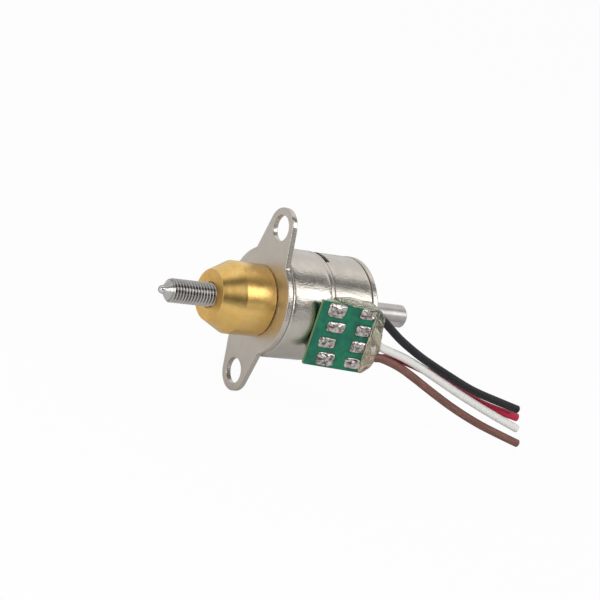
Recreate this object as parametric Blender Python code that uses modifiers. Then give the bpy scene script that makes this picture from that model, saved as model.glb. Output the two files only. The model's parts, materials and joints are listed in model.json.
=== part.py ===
"""Tin-can stepper motor with a lead screw through it.

Metres, +Z up. The motor's axis lies along Y, at AXIS_Z: the screw's tip points to -Y and its plain
end leaves the rear cover at +Y. The origin is on the flange's mounting face, which is the plane
Y = 0, on the flange's long centre line, between the nut and the upper fixing hole. The circuit
board is on the +X side.

The brass nut is pressed into the flange and never turns. The rotor's hub has a D-shaped bore, the
lead screw's rear half has the matching D, so the screw turns with the rotor, slides through it and
is fed along by the nut's thread.
"""

import bmesh
import bpy
from math import cos, pi, radians, sin, sqrt
from mathutils import Euler, Matrix, Vector

MM = 0.001
GAP = 0.03 * MM  # room left between pieces that touch on the real motor
WELD = 1e-6  # points closer than this are one point

# ---- driving dimensions; every y is measured along the motor's axis from the mounting face ----
AXIS_Z = -6.8 * MM  # the motor's axis, below the origin on the mounting face

CAN_R = 7.5 * MM
CAN_WALL = 0.5 * MM
FRONT_CAN_Y = (0.83 * MM, 7.6 * MM)
REAR_CAN_R = 7.45 * MM
REAR_CAN_WALL = 0.46 * MM
REAR_CAN_Y = (7.66 * MM, 14.05 * MM)
COVER_Y = (14.1 * MM, 14.93 * MM)
ROUND_STEPS = 32

FLANGE_T = 0.8 * MM
FLANGE_R = 7.3 * MM
HOLE_SPACING = 21.0 * MM
HOLE_R = 1.75 * MM
EAR_R = 2.76 * MM
EAR_TAPER = radians(13.6)
EAR_FILLET = 0.8 * MM

NUT_R = 4.89 * MM
NUT_FACE_R = 3.44 * MM
NUT_FRONT_Y = -7.61 * MM
NUT_SHOULDER_Y = -4.73 * MM
SPIGOT_R = 4.25 * MM
SPIGOT_END_Y = 1.52 * MM
NUT_MOUTH_R = 2.1 * MM
NUT_MOUTH_DEPTH = 0.55 * MM

PITCH = 0.45 * MM
SCREW_CREST_R = 1.60 * MM
SCREW_ROOT_R = 1.31 * MM
TAP_CREST_R = 1.67 * MM
TAP_ROOT_R = 1.41 * MM
THREAD_STEPS = 16
THREAD_TURNS = 48  # wound for the screw, before its ends are cut
TAP_TURNS = 22
TAP_LEAD = 11  # pitches between the screw's cone and the start of the tap, so both are in step
THREAD_END_Y = 4.9 * MM
CONE_BASE_Y = -13.91 * MM
CONE_TIP_Y = -14.7 * MM
CONE_TIP_R = 0.5 * MM
BALL_R = 0.56 * MM
BALL_Y = -14.75 * MM
SHAFT_R = 1.634 * MM
SHAFT_END_Y = 25.35 * MM
SHAFT_CHAMFER = 0.45 * MM
FLAT_DEPTH = 0.3 * MM
FLAT_ANGLE = radians(-45)

MAGNET_R = 4.3 * MM
HUB_R = 2.68 * MM
JOURNAL_R = 2.1 * MM
HUB_Y = (0.45 * MM, 15.1 * MM)
SHOULDER_Y = (1.80 * MM, 12.75 * MM)
DRIVE_Y = 9.6 * MM  # the hub's D-shaped bore runs from here to its rear end
RELIEF_R = 1.78 * MM
MAGNET_Y = (2.3 * MM, 12.6 * MM)

BUSH_R = 3.0 * MM
BUSH_BORE_R = JOURNAL_R + 0.05 * MM
FRONT_BUSH_Y = (0.36 * MM, 1.52 * MM)
REAR_BUSH_Y = (13.4 * MM, 15.25 * MM)
REAR_BARREL_R = 2.5 * MM
WASHER_R = 3.3 * MM
WASHER_BORE_R = JOURNAL_R + 0.07 * MM
FRONT_WASHER_Y = (1.56 * MM, 1.75 * MM)
REAR_WASHER_Y = (12.80 * MM, 12.96 * MM)
SPRING_R = 2.95 * MM
SPRING_Y = (13.12 * MM, 13.22 * MM)
SPRING_WAVES = 3
SPRING_WAVE_H = 0.1 * MM

POLE_PAIRS = 5
CLAW_IN = 4.6 * MM
CLAW_T = 0.45 * MM
CLAW_BASE = 2.4 * MM
CLAW_TIP = 1.3 * MM
CLAW_TIP_GAP = 0.6 * MM  # between a claw's tip and the plate it points at
PLATE_BORE_R = 4.5 * MM
YOKE_R = 6.95 * MM
FRONT_YOKE_Y = (7.03 * MM, 7.53 * MM)
REAR_YOKE_Y = (7.72 * MM, 8.22 * MM)
BOBBIN_R = 6.82 * MM
BOBBIN_BORE_R = 5.25 * MM
BOBBIN_TUBE_R = 5.5 * MM
BOBBIN_CHEEK = 0.35 * MM
COIL_R = 6.7 * MM

BOARD_CENTRE = Vector((8.90, 8.74, -0.53)) * MM  # of its outer face, from the motor's axis
BOARD_TURN = Euler((0.0, radians(-1.35), radians(-10.0)))
BOARD_W = 8.57 * MM  # along the motor
BOARD_H = 9.15 * MM
BOARD_T = 0.6 * MM
PIN_R = 0.22 * MM
PIN_ROW_Y = -1.63 * MM
PIN_STAGGER = 0.3 * MM
PIN_PITCH = 2.3 * MM
PIN_MID_Z = 0.07 * MM
LEAD_ROW_Y = 2.8 * MM
LEAD_PITCH = 2.37 * MM
LEAD_MID_Z = 0.2 * MM
SOLDER_R = 0.78 * MM
SOLDER_STRETCH = 1.4
SOLDER_H = 0.34 * MM
BLOCK_Y = (6.15 * MM, 8.45 * MM)
BLOCK_Z = (-4.65 * MM, 3.75 * MM)
BLOCK_X = (4.6 * MM, 7.72 * MM)
WINDOW_GAP = 0.05 * MM
NOTCH = (1.7 * MM, 0.55 * MM)  # half width across the top, depth along the axis

WIRE_R = 0.575 * MM
CORE_R = 0.19 * MM
CORE_BORE_R = 0.23 * MM
WIRE_STRAIGHT = (0.6 * MM, 1.6 * MM)  # where a wire lies under the board, past its lead's hole
GLUE_Y = (-2.6 * MM, 1.3 * MM)  # from the board's middle, to past its rear edge
GLUE_X = (-3.4 * MM, 0.45 * MM)
GLUE_BELOW = 0.3 * MM
GLUE_ABOVE = 0.4 * MM
GLUE_ON_BOARD = 0.45 * MM  # how far the glue laps over the board's rear edge

# Each wire's free run after the board, as points (x, y, z) in mm from the motor's axis
WIRE_RUNS = {
    "black": [(8.9, 15.1, 2.2), (9.5, 18.2, 0.2), (10.4, 22.3, -1.8), (11.3, 27.0, -3.6),
              (12.2, 31.7, -5.2), (13.1, 35.8, -6.1), (13.9, 39.9, -6.9)],
    "white": [(8.75, 14.8, -0.75), (9.1, 16.0, -1.45), (9.8, 19.4, -2.2), (10.5, 23.2, -3.48),
              (11.7, 29.1, -5.8), (12.9, 34.8, -7.85), (14.1, 41.0, -9.85)],
    "red": [(7.87, 14.7, -2.8), (7.95, 16.2, -3.45), (8.29, 18.26, -3.17), (8.74, 20.06, -3.09),
            (9.03, 22.17, -3.46), (9.86, 26.54, -4.62), (10.79, 31.05, -6.28), (11.79, 35.63, -7.58),
            (13.39, 40.99, -8.42)],
    "brown": [(9.1, 14.7, -3.1), (9.3, 15.9, -2.85), (9.8, 19.6, -3.8), (10.8, 24.3, -5.9),
              (11.7, 29.2, -8.1), (12.9, 35.0, -10.2), (14.3, 42.0, -12.1)],
}

# name: (colour, roughness, metallic)
FINISHES = {
    "nickel_plate": ((0.66, 0.63, 0.60), 0.28, 1.0),
    "brass": ((0.72, 0.50, 0.20), 0.30, 1.0),
    "steel": ((0.55, 0.55, 0.55), 0.30, 1.0),
    "polished_steel": ((0.75, 0.75, 0.75), 0.12, 1.0),
    "bronze": ((0.50, 0.34, 0.18), 0.45, 1.0),
    "ferrite": ((0.06, 0.06, 0.065), 0.70, 0.0),
    "copper_winding": ((0.60, 0.26, 0.10), 0.40, 1.0),
    "bobbin_plastic": ((0.08, 0.08, 0.08), 0.50, 0.0),
    "terminal_plastic": ((0.80, 0.78, 0.72), 0.50, 0.0),
    "washer_plastic": ((0.75, 0.73, 0.68), 0.50, 0.0),
    "board": ((0.02, 0.22, 0.12), 0.40, 0.0),
    "solder": ((0.70, 0.70, 0.70), 0.25, 1.0),
    "tinned_copper": ((0.75, 0.62, 0.50), 0.35, 1.0),
    "insulation_black": ((0.02, 0.02, 0.025), 0.50, 0.0),
    "insulation_white": ((0.75, 0.75, 0.73), 0.50, 0.0),
    "insulation_red": ((0.30, 0.02, 0.04), 0.50, 0.0),
    "insulation_brown": ((0.22, 0.11, 0.09), 0.50, 0.0),
    "glue": ((0.75, 0.62, 0.35), 0.20, 0.0),
}


# ---- modelling helpers ----
def clear_scene():
    for obj in list(bpy.data.objects):
        bpy.data.objects.remove(obj, do_unlink=True)


def new_collection(name):
    collection = bpy.data.collections.new(name)
    bpy.context.scene.collection.children.link(collection)
    return collection


def finish(name):
    """The Principled material of a finish, made once."""
    material = bpy.data.materials.get(name)
    if material:
        return material
    colour, roughness, metallic = FINISHES[name]
    material = bpy.data.materials.new(name)
    material.use_nodes = True
    shader = material.node_tree.nodes["Principled BSDF"]
    shader.inputs["Base Color"].default_value = (*colour, 1.0)
    shader.inputs["Roughness"].default_value = roughness
    shader.inputs["Metallic"].default_value = metallic
    return material


def empty(name, parent, location=(0, 0, 0), rotation=(0, 0, 0)):
    obj = bpy.data.objects.new(name, None)
    obj.parent = parent
    obj.location = location
    obj.rotation_euler = rotation
    PARTS.objects.link(obj)
    return obj


def add(name, data, parent, look, location=(0, 0, 0), rotation=(0, 0, 0)):
    """A new object: a part when it has a look, and a cutter when it has none."""
    obj = bpy.data.objects.new(name, data)
    obj.parent = parent
    obj.location = location
    obj.rotation_euler = rotation
    if look:
        PARTS.objects.link(obj)
        data.materials.append(finish(look))
    else:
        CUTTERS.objects.link(obj)
        obj.hide_render = True
        obj.display_type = "WIRE"
    return obj


def settle(obj, fill_open_ends=False):
    """Turn an object's curve or modifiers into one welded mesh, shaded smooth between sharp edges."""
    bpy.context.view_layer.update()
    depsgraph = bpy.context.evaluated_depsgraph_get()
    mesh = bpy.data.meshes.new_from_object(obj.evaluated_get(depsgraph))
    bm = bmesh.new()
    bm.from_mesh(mesh)
    bmesh.ops.remove_doubles(bm, verts=bm.verts, dist=WELD)
    if fill_open_ends:
        open_edges = [edge for edge in bm.edges if edge.is_boundary]
        bmesh.ops.holes_fill(bm, edges=open_edges)
    bmesh.ops.recalc_face_normals(bm, faces=bm.faces)
    bm.to_mesh(mesh)
    bm.free()
    mesh.shade_smooth()
    mesh.set_sharp_from_angle(angle=radians(35))
    if obj.type == "MESH":
        obj.modifiers.clear()
        obj.data = mesh
        return obj
    solid = bpy.data.objects.new(obj.name, mesh)
    solid.parent = obj.parent
    solid.location = obj.location
    solid.rotation_euler = obj.rotation_euler
    solid.hide_render = obj.hide_render
    solid.display_type = obj.display_type
    name = obj.name
    obj.users_collection[0].objects.link(solid)
    bpy.data.objects.remove(obj)
    solid.name = name
    return solid


def boolean(obj, tool, operation):
    modifier = obj.modifiers.new(tool.name, "BOOLEAN")
    modifier.operation = operation
    modifier.object = tool


def cut(obj, *tools):
    for tool in tools:
        boolean(obj, tool, "DIFFERENCE")


def join(obj, *tools):
    for tool in tools:
        boolean(obj, tool, "UNION")


def turned(name, profile, parent, look, steps=ROUND_STEPS, ring=True, axis="Y", location=(0, 0, 0)):
    """Turn a profile of (radius, distance along the axis) points about the parent's Y or X axis.

    The points run down the outer side, far end first. A ring's profile is a closed loop; any other
    profile starts and ends on the axis.
    """
    points = [(radius, 0.0, along) for radius, along in profile]
    edges = [(i, i + 1) for i in range(len(points) - 1)]
    if ring:
        edges.append((len(points) - 1, 0))
    mesh = bpy.data.meshes.new(name)
    mesh.from_pydata(points, edges, [])
    rotation = (-pi / 2, 0, 0) if axis == "Y" else (0, pi / 2, 0)
    obj = add(name, mesh, parent, look, location, rotation)
    screw = obj.modifiers.new("turn", "SCREW")
    screw.steps = steps
    screw.render_steps = steps
    screw.use_merge_vertices = True
    screw.merge_threshold = WELD
    return settle(obj)


def tube(name, inner, outer, y_low, y_high, parent, look, **options):
    """A plain turned ring."""
    profile = [(outer, y_high), (outer, y_low), (inner, y_low), (inner, y_high)]
    return turned(name, profile, parent, look, **options)


def rod(name, radius, y_low, y_high, parent, look, **options):
    """A plain turned cylinder."""
    profile = [(0, y_high), (radius, y_high), (radius, y_low), (0, y_low)]
    return turned(name, profile, parent, look, ring=False, **options)


def box(name, low, high, parent, look, rotation=(0, 0, 0)):
    """A block between two corners."""
    low, high = Vector(low), Vector(high)
    bm = bmesh.new()
    bmesh.ops.create_cube(bm, size=1.0)
    for vert in bm.verts:
        vert.co = [low[i] + (high[i] - low[i]) * (vert.co[i] + 0.5) for i in range(3)]
    mesh = bpy.data.meshes.new(name)
    bm.to_mesh(mesh)
    bm.free()
    return add(name, mesh, parent, look, rotation=rotation)


def arc(centre, radius, start, end, count):
    """Points along an arc in a plane, both ends included."""
    angles = [start + (end - start) * i / count for i in range(count + 1)]
    return [(centre[0] + radius * cos(a), centre[1] + radius * sin(a)) for a in angles]


def cable(name, points, radius, parent, look, resolution=2):
    """A round cable along points, as one closed mesh."""
    curve = bpy.data.curves.new(name, "CURVE")
    curve.dimensions = "3D"
    curve.bevel_depth = radius
    curve.bevel_resolution = resolution
    curve.use_fill_caps = True
    spline = curve.splines.new("POLY")
    spline.points.add(len(points) - 1)
    for point, place in zip(spline.points, points):
        point.co = (*place, 1.0)
    return settle(add(name, curve, parent, look))


def thread_solid(name, crest, root, y_low, turns, parent):
    """A core with a right-hand V thread of whole turns, closed at both ends."""
    y_high = y_low + turns * PITCH
    profile = [(0, y_high), (root, y_high)]
    for turn in range(turns):
        y = y_high - turn * PITCH
        profile += [(crest, y - PITCH / 2), (root, y - PITCH)]
    profile.append((0, y_low))
    mesh = bpy.data.meshes.new(name)
    points = [(radius, 0.0, along) for radius, along in profile]
    mesh.from_pydata(points, [(i, i + 1) for i in range(len(points) - 1)], [])
    obj = add(name, mesh, parent, None, rotation=(-pi / 2, 0, 0))
    screw = obj.modifiers.new("wind", "SCREW")
    screw.screw_offset = PITCH
    screw.steps = THREAD_STEPS
    screw.render_steps = THREAD_STEPS
    return settle(obj, fill_open_ends=True)


# ---- the stator's case ----
def flange_outline():
    """A disc with two tapering ears, as points (x, z) from the motor's axis."""
    ear_z = HOLE_SPACING / 2
    side = Vector((cos(EAR_TAPER), sin(EAR_TAPER)))  # square to the ear's right-hand side
    along = Vector((sin(EAR_TAPER), -cos(EAR_TAPER)))
    out = EAR_R + ear_z * side.y + EAR_FILLET
    back = sqrt((FLANGE_R + EAR_FILLET) ** 2 - out**2)
    corner = side * out - along * back  # the fillet's centre
    disc_angle = Vector(corner).angle_signed(Vector((1, 0)))
    quarter = arc((0, 0), FLANGE_R, 0, disc_angle, 6)
    quarter += arc(corner, EAR_FILLET, disc_angle + pi, pi + EAR_TAPER, 3)[1:]
    quarter += arc((0, ear_z), EAR_R, EAR_TAPER, pi / 2, 5)
    left = [(-x, z) for x, z in reversed(quarter[:-1])]
    top = quarter + left
    bottom = [(-x, -z) for x, z in top[1:-1]]
    return top + bottom


def make_flange():
    curve = bpy.data.curves.new("mounting_flange", "CURVE")
    curve.dimensions = "2D"
    curve.fill_mode = "BOTH"
    curve.extrude = FLANGE_T / 2
    ear_z = HOLE_SPACING / 2
    loops = [
        flange_outline(),
        arc((0, 0), SPIGOT_R + GAP * 2, 0, 2 * pi, ROUND_STEPS)[:-1],
        arc((0, ear_z), HOLE_R, 0, 2 * pi, 20)[:-1],
        arc((0, -ear_z), HOLE_R, 0, 2 * pi, 20)[:-1],
    ]
    for loop in loops:
        spline = curve.splines.new("POLY")
        spline.points.add(len(loop) - 1)
        spline.use_cyclic_u = True
        for point, (x, z) in zip(spline.points, loop):
            point.co = (x, z, 0, 1)
    flange = add("mounting_flange", curve, MOTOR, "nickel_plate", (0, FLANGE_T / 2, 0), (pi / 2, 0, 0))
    return settle(flange)


def make_nut():
    """The brass nut: a cone-nosed boss, a spigot through the flange, and a seat for the bush."""
    rounding = 0.25 * MM
    seat_r = BUSH_R + 0.05 * MM
    seat_y = FRONT_BUSH_Y[0] - 0.04 * MM
    mouth_y = NUT_FRONT_Y + NUT_MOUTH_DEPTH
    core_r = 1.1 * MM
    edge = arc((NUT_R - rounding, -GAP - rounding), rounding, pi / 2, 0, 3)
    profile = [(SPIGOT_R, SPIGOT_END_Y), (SPIGOT_R, -GAP), *edge]
    profile += [(NUT_R, NUT_SHOULDER_Y), (NUT_FACE_R, NUT_FRONT_Y), (NUT_MOUTH_R, NUT_FRONT_Y)]
    profile += [(SCREW_ROOT_R, mouth_y), (core_r, mouth_y), (core_r, seat_y)]
    profile += [(seat_r, seat_y), (seat_r, SPIGOT_END_Y)]
    nut = turned("brass_nut", profile, MOTOR, "brass")
    tap_start = CONE_BASE_Y + TAP_LEAD * PITCH
    cut(nut, thread_solid("tap", TAP_CREST_R, TAP_ROOT_R, tap_start, TAP_TURNS, MOTOR))


def claw_ring(name, base_y, tip_y, first_angle):
    """One yoke's claw poles: flat tapering teeth around the rotor, as separate closed blocks."""
    bm = bmesh.new()
    for claw in range(POLE_PAIRS):
        turn = Matrix.Rotation(first_angle + 2 * pi * claw / POLE_PAIRS, 4, "Y")
        for vert in bmesh.ops.create_cube(bm, size=1.0)["verts"]:
            at_tip = vert.co.y > 0
            width = CLAW_TIP if at_tip else CLAW_BASE
            x = CLAW_IN + (vert.co.x + 0.5) * CLAW_T
            vert.co = turn @ Vector((x, tip_y if at_tip else base_y, vert.co.z * width))
    bmesh.ops.recalc_face_normals(bm, faces=bm.faces)
    mesh = bpy.data.meshes.new(name)
    bm.to_mesh(mesh)
    bm.free()
    return add(name, mesh, MOTOR, None)


def side_window():
    """The opening that both cans leave for the terminal block."""
    inner_x, outer_x = PLATE_BORE_R - MM / 2, CAN_R + MM
    low = (inner_x, BLOCK_Y[0] - WINDOW_GAP, BLOCK_Z[0] - WINDOW_GAP)
    high = (outer_x, BLOCK_Y[1] + WINDOW_GAP, BLOCK_Z[1] + WINDOW_GAP)
    return box("side_window", low, high, MOTOR, None)


def make_front_can(window):
    corner = 0.6 * MM
    inner_chamfer = 0.1 * MM
    front, rim = FRONT_CAN_Y
    inside = CAN_R - CAN_WALL
    outer_edge = arc((CAN_R - corner, front + corner), corner, 0, -pi / 2, 3)
    profile = [(CAN_R, rim), *outer_edge, (PLATE_BORE_R, front), (PLATE_BORE_R, front + CAN_WALL)]
    plate = front + CAN_WALL
    profile += [(inside - inner_chamfer, plate), (inside, plate + inner_chamfer), (inside, rim)]
    can = turned("front_can", profile, MOTOR, "nickel_plate")
    claws = claw_ring("front_can_claws", plate - CAN_WALL / 2, FRONT_YOKE_Y[0] - CLAW_TIP_GAP, 0)
    join(can, claws)
    cut(can, window)


def make_rear_can(window):
    lip, rear = REAR_CAN_Y
    inside = REAR_CAN_R - REAR_CAN_WALL
    chamfer = 0.15 * MM
    profile = [(REAR_CAN_R - chamfer, rear), (REAR_CAN_R, rear - chamfer), (REAR_CAN_R, lip)]
    profile += [(inside, lip), (inside, rear - CAN_WALL), (PLATE_BORE_R, rear - CAN_WALL)]
    profile += [(PLATE_BORE_R, rear)]
    can = turned("rear_can", profile, MOTOR, "nickel_plate")
    half_step = pi / POLE_PAIRS / 2
    claws = claw_ring("rear_can_claws", rear - CAN_WALL / 2, REAR_YOKE_Y[1] + CLAW_TIP_GAP, half_step)
    join(can, claws)
    half_width, depth = NOTCH
    low = (-half_width, lip - MM / 5, REAR_CAN_R - 1.5 * MM)
    notch = box("rim_notch", low, (half_width, lip + depth, REAR_CAN_R + MM / 2), MOTOR, None)
    cut(can, window, notch)


def make_yoke(name, plate_y, claw_tip_y, first_angle):
    """An inner yoke: a flat ring with a crown of claws that mesh with the can's own."""
    yoke = tube(name, PLATE_BORE_R, YOKE_R, *plate_y, MOTOR, "steel")
    middle = (plate_y[0] + plate_y[1]) / 2
    join(yoke, claw_ring(name + "_claws", middle, claw_tip_y, first_angle))


def make_rear_cover():
    chamfer = 0.2 * MM
    bore = REAR_BARREL_R + 0.05 * MM
    front, rear = COVER_Y
    profile = [(CAN_R - chamfer, rear), (CAN_R, rear - chamfer), (CAN_R, front), (bore, front)]
    turned("rear_cover", profile + [(bore, rear)], MOTOR, "nickel_plate")


# ---- windings ----
def make_winding(end, y_low, y_high):
    """A bobbin and the coil wound on it."""
    cheek_low = y_low + BOBBIN_CHEEK
    cheek_high = y_high - BOBBIN_CHEEK
    profile = [(BOBBIN_R, y_high), (BOBBIN_R, cheek_high), (BOBBIN_TUBE_R, cheek_high)]
    profile += [(BOBBIN_TUBE_R, cheek_low), (BOBBIN_R, cheek_low), (BOBBIN_R, y_low)]
    profile += [(BOBBIN_BORE_R, y_low), (BOBBIN_BORE_R, y_high)]
    turned("bobbin_" + end, profile, MOTOR, "bobbin_plastic")
    tube("coil_" + end, BOBBIN_TUBE_R + GAP, COIL_R, cheek_low + GAP, cheek_high - GAP, MOTOR,
         "copper_winding")


# ---- bearings and rotor ----
def make_bearings():
    """A plain ring in the nut's spigot, and a collared bush through the rear cover."""
    tube("front_bush", BUSH_BORE_R, BUSH_R, *FRONT_BUSH_Y, MOTOR, "bronze", steps=24)
    collar_y = COVER_Y[0] - GAP
    front, rear = REAR_BUSH_Y
    profile = [(REAR_BARREL_R, rear), (REAR_BARREL_R, collar_y), (BUSH_R, collar_y)]
    profile += [(BUSH_R, front), (BUSH_BORE_R, front), (BUSH_BORE_R, rear)]
    turned("rear_bush", profile, MOTOR, "bronze", steps=24)


def make_washers():
    """A thrust washer at each end of the rotor, and the wave spring that takes up its end play."""
    for name, reach in (("front_thrust_washer", FRONT_WASHER_Y), ("rear_thrust_washer", REAR_WASHER_Y)):
        tube(name, WASHER_BORE_R, WASHER_R, *reach, MOTOR, "washer_plastic", steps=24)
    spring = tube("wave_spring", WASHER_BORE_R, SPRING_R, *SPRING_Y, MOTOR, "steel", steps=24)
    for vert in spring.data.vertices:
        vert.co.z += SPRING_WAVE_H * cos(SPRING_WAVES * Vector((1, 0)).angle_signed(vert.co.xy))


def flat_cutter(name, distance, y_low, y_high, parent):
    """A block that leaves a flat at a distance from the axis, facing FLAT_ANGLE."""
    reach = 3.0 * MM
    low = (distance, y_low, -reach)
    return box(name, low, (distance + reach, y_high, reach), parent, None, (0, -FLAT_ANGLE, 0))


def make_rotor():
    front, rear = HUB_Y
    core_r = 1.0 * MM
    profile = [(JOURNAL_R, rear), (JOURNAL_R, SHOULDER_Y[1]), (HUB_R, SHOULDER_Y[1])]
    profile += [(HUB_R, SHOULDER_Y[0]), (JOURNAL_R, SHOULDER_Y[0]), (JOURNAL_R, front)]
    profile += [(RELIEF_R, front), (RELIEF_R, DRIVE_Y), (core_r, DRIVE_Y), (core_r, rear)]
    hub = turned("rotor_hub", profile, ROTOR, "brass", steps=24)
    reamer = rod("hub_reamer", SHAFT_R + GAP, DRIVE_Y - 0.5 * MM, rear + 1 * MM, ROTOR, None, steps=24)
    flat = SHAFT_R - FLAT_DEPTH + GAP
    cut(reamer, flat_cutter("hub_flat", flat, DRIVE_Y - 1 * MM, rear + 2 * MM, ROTOR))
    cut(hub, reamer)
    tube("rotor_magnet", HUB_R + GAP, MAGNET_R, *MAGNET_Y, ROTOR, "ferrite", steps=40)


# ---- the lead screw ----
def make_lead_screw():
    """Cone-tipped thread in front, plain D-shaped shaft behind."""
    envelope_r = SCREW_CREST_R + 0.05 * MM
    end_r = SCREW_ROOT_R - 0.01 * MM
    run_out = 0.35 * MM
    profile = [(0, THREAD_END_Y), (end_r, THREAD_END_Y)]
    profile += [(envelope_r, THREAD_END_Y - run_out), (envelope_r, CONE_BASE_Y + run_out)]
    profile += [(end_r, CONE_BASE_Y), (CONE_TIP_R, CONE_TIP_Y), (0, CONE_TIP_Y)]
    screw = turned("lead_screw", profile, SCREW, "steel", ring=False, steps=24)
    wound_from = CONE_BASE_Y - 3 * PITCH
    thread = thread_solid("screw_thread", SCREW_CREST_R, SCREW_ROOT_R, wound_from, THREAD_TURNS, SCREW)
    boolean(screw, thread, "INTERSECT")
    shaft_front = THREAD_END_Y - 0.2 * MM
    neck_r = SCREW_ROOT_R - 0.06 * MM
    profile = [(0, SHAFT_END_Y), (SHAFT_R - SHAFT_CHAMFER, SHAFT_END_Y)]
    profile += [(SHAFT_R, SHAFT_END_Y - SHAFT_CHAMFER), (SHAFT_R, THREAD_END_Y)]
    profile += [(neck_r, shaft_front), (0, shaft_front)]
    shaft = turned("plain_shaft", profile, SCREW, None, ring=False, steps=24)
    flat_start = THREAD_END_Y + 0.05 * MM
    flat = SHAFT_R - FLAT_DEPTH
    cut(shaft, flat_cutter("shaft_flat", flat, flat_start, SHAFT_END_Y + 1 * MM, SCREW))
    join(screw, shaft)
    cut(screw, ball("ball_seat", BALL_R + GAP, None))


def ball(name, radius, look):
    bm = bmesh.new()
    bmesh.ops.create_uvsphere(bm, u_segments=16, v_segments=8, radius=radius)
    mesh = bpy.data.meshes.new(name)
    bm.to_mesh(mesh)
    bm.free()
    mesh.shade_smooth()
    return add(name, mesh, SCREW, look, (0, BALL_Y, 0), (-pi / 2, 0, 0))


# ---- circuit board, terminals and wires ----
def pin_places():
    """The terminal pins on the board, as (y, z) in its own frame, top one first."""
    return [
        (PIN_ROW_Y + PIN_STAGGER * (-1) ** (i + 1), PIN_MID_Z + PIN_PITCH * (1.5 - i)) for i in range(4)
    ]


def lead_places():
    """The wire leads on the board, as (y, z) in its own frame, top one first."""
    return [(LEAD_ROW_Y, LEAD_MID_Z + LEAD_PITCH * (1.5 - i)) for i in range(4)]


def board_rod(name, radius, x_low, x_high, place, look, steps=12):
    """A small cylinder square to the board, at a (y, z) place on it."""
    return rod(name, radius, x_low, x_high, BOARD, look, steps=steps, axis="X", location=(0, *place))


def make_terminals():
    """The terminal block in the cans' window, and its four pins."""
    low, high = zip(BLOCK_X, BLOCK_Y, BLOCK_Z)
    block = box("terminal_block", low, high, MOTOR, "terminal_plastic")
    hollow_y = (BLOCK_Y[0] - MM, BLOCK_Y[1] + MM)
    cut(block, rod("block_hollow", YOKE_R + 0.07 * MM, *hollow_y, MOTOR, None, steps=48))
    pin_low, pin_high = -1.45 * MM, SOLDER_H + 0.06 * MM
    for number, place in enumerate(pin_places(), 1):
        board_rod(f"terminal_pin_{number}", PIN_R, pin_low, pin_high, place, "tinned_copper", 10)
        cut(block, board_rod(f"pin_hole_{number}", PIN_R + GAP, pin_low - GAP, 0, place, None))


def make_board():
    low = (-BOARD_T, -BOARD_W / 2, -BOARD_H / 2)
    board = box("circuit_board", low, (0, BOARD_W / 2, BOARD_H / 2), BOARD, "board")
    for number, place in enumerate(pin_places() + lead_places(), 1):
        hole = board_rod(f"board_hole_{number}", PIN_R + GAP, -BOARD_T - MM, MM, place, None)
        cut(board, hole)


def make_solder():
    """A mound of solder around each pin and each lead."""
    low, middle, top = 0.02 * MM, 0.22 * MM, SOLDER_H
    crown_r, middle_r, bore = 0.42 * MM, 0.61 * MM, PIN_R + 0.02 * MM
    profile = [(crown_r, top), (middle_r, middle), (SOLDER_R, low), (bore, low), (bore, top)]
    for number, place in enumerate(pin_places() + lead_places(), 1):
        mound = turned(f"solder_joint_{number}", profile, BOARD, "solder", steps=12, axis="X",
                       location=(0, *place))
        mound.scale = (1, SOLDER_STRETCH, 1)


def smooth_run(points, pieces):
    """A Catmull-Rom curve through points, with the same number of pieces between each two."""
    ends = [points[0] * 2 - points[1], *points, points[-1] * 2 - points[-2]]
    run = []
    for a, b, c, d in zip(ends, ends[1:], ends[2:], ends[3:]):
        for step in range(pieces):
            t = step / pieces
            run.append(0.5 * (2 * b + (c - a) * t + (2 * a - 5 * b + 4 * c - d) * t * t
                              + (3 * b - a - 3 * c + d) * t**3))
    return run + [points[-1]]


def make_wires():
    """Four insulated wires: each lead comes up through the board, under which its wire starts."""
    board_to_axis = Matrix.LocRotScale(BOARD_CENTRE, BOARD_TURN, None)
    under = -BOARD_T - GAP - WIRE_R
    clearances = []
    for (colour, run), (y, z) in zip(WIRE_RUNS.items(), lead_places()):
        straight = [board_to_axis @ Vector((under, y + step, z)) for step in WIRE_STRAIGHT]
        path = smooth_run([*straight, *[Vector(point) * MM for point in run]], 2)
        name = f"wire_{colour}"
        sleeve = cable(f"{name}_insulation", path, WIRE_R, MOTOR, "insulation_" + colour)
        bend = 0.22 * MM
        lead = [(SOLDER_H, y), (-BOARD_T, y), (under * 0.85, y + bend / 4), (under, y + bend)]
        lead = [board_to_axis @ Vector((x, along, z)) for x, along in lead]
        cable(f"{name}_core", lead + path, CORE_R, MOTOR, "tinned_copper", 1)
        before = path[0] + (path[0] - path[1]).normalized() * MM / 5
        after = path[-1] + (path[-1] - path[-2]).normalized() * MM / 5
        bore = [before, *path, after]
        cut(sleeve, cable(f"{name}_bore", bore, CORE_BORE_R, MOTOR, None))
        clearances.append(cable(f"{name}_clearance", bore[:8], WIRE_R + 2 * GAP, MOTOR, None))
    return clearances


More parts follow.
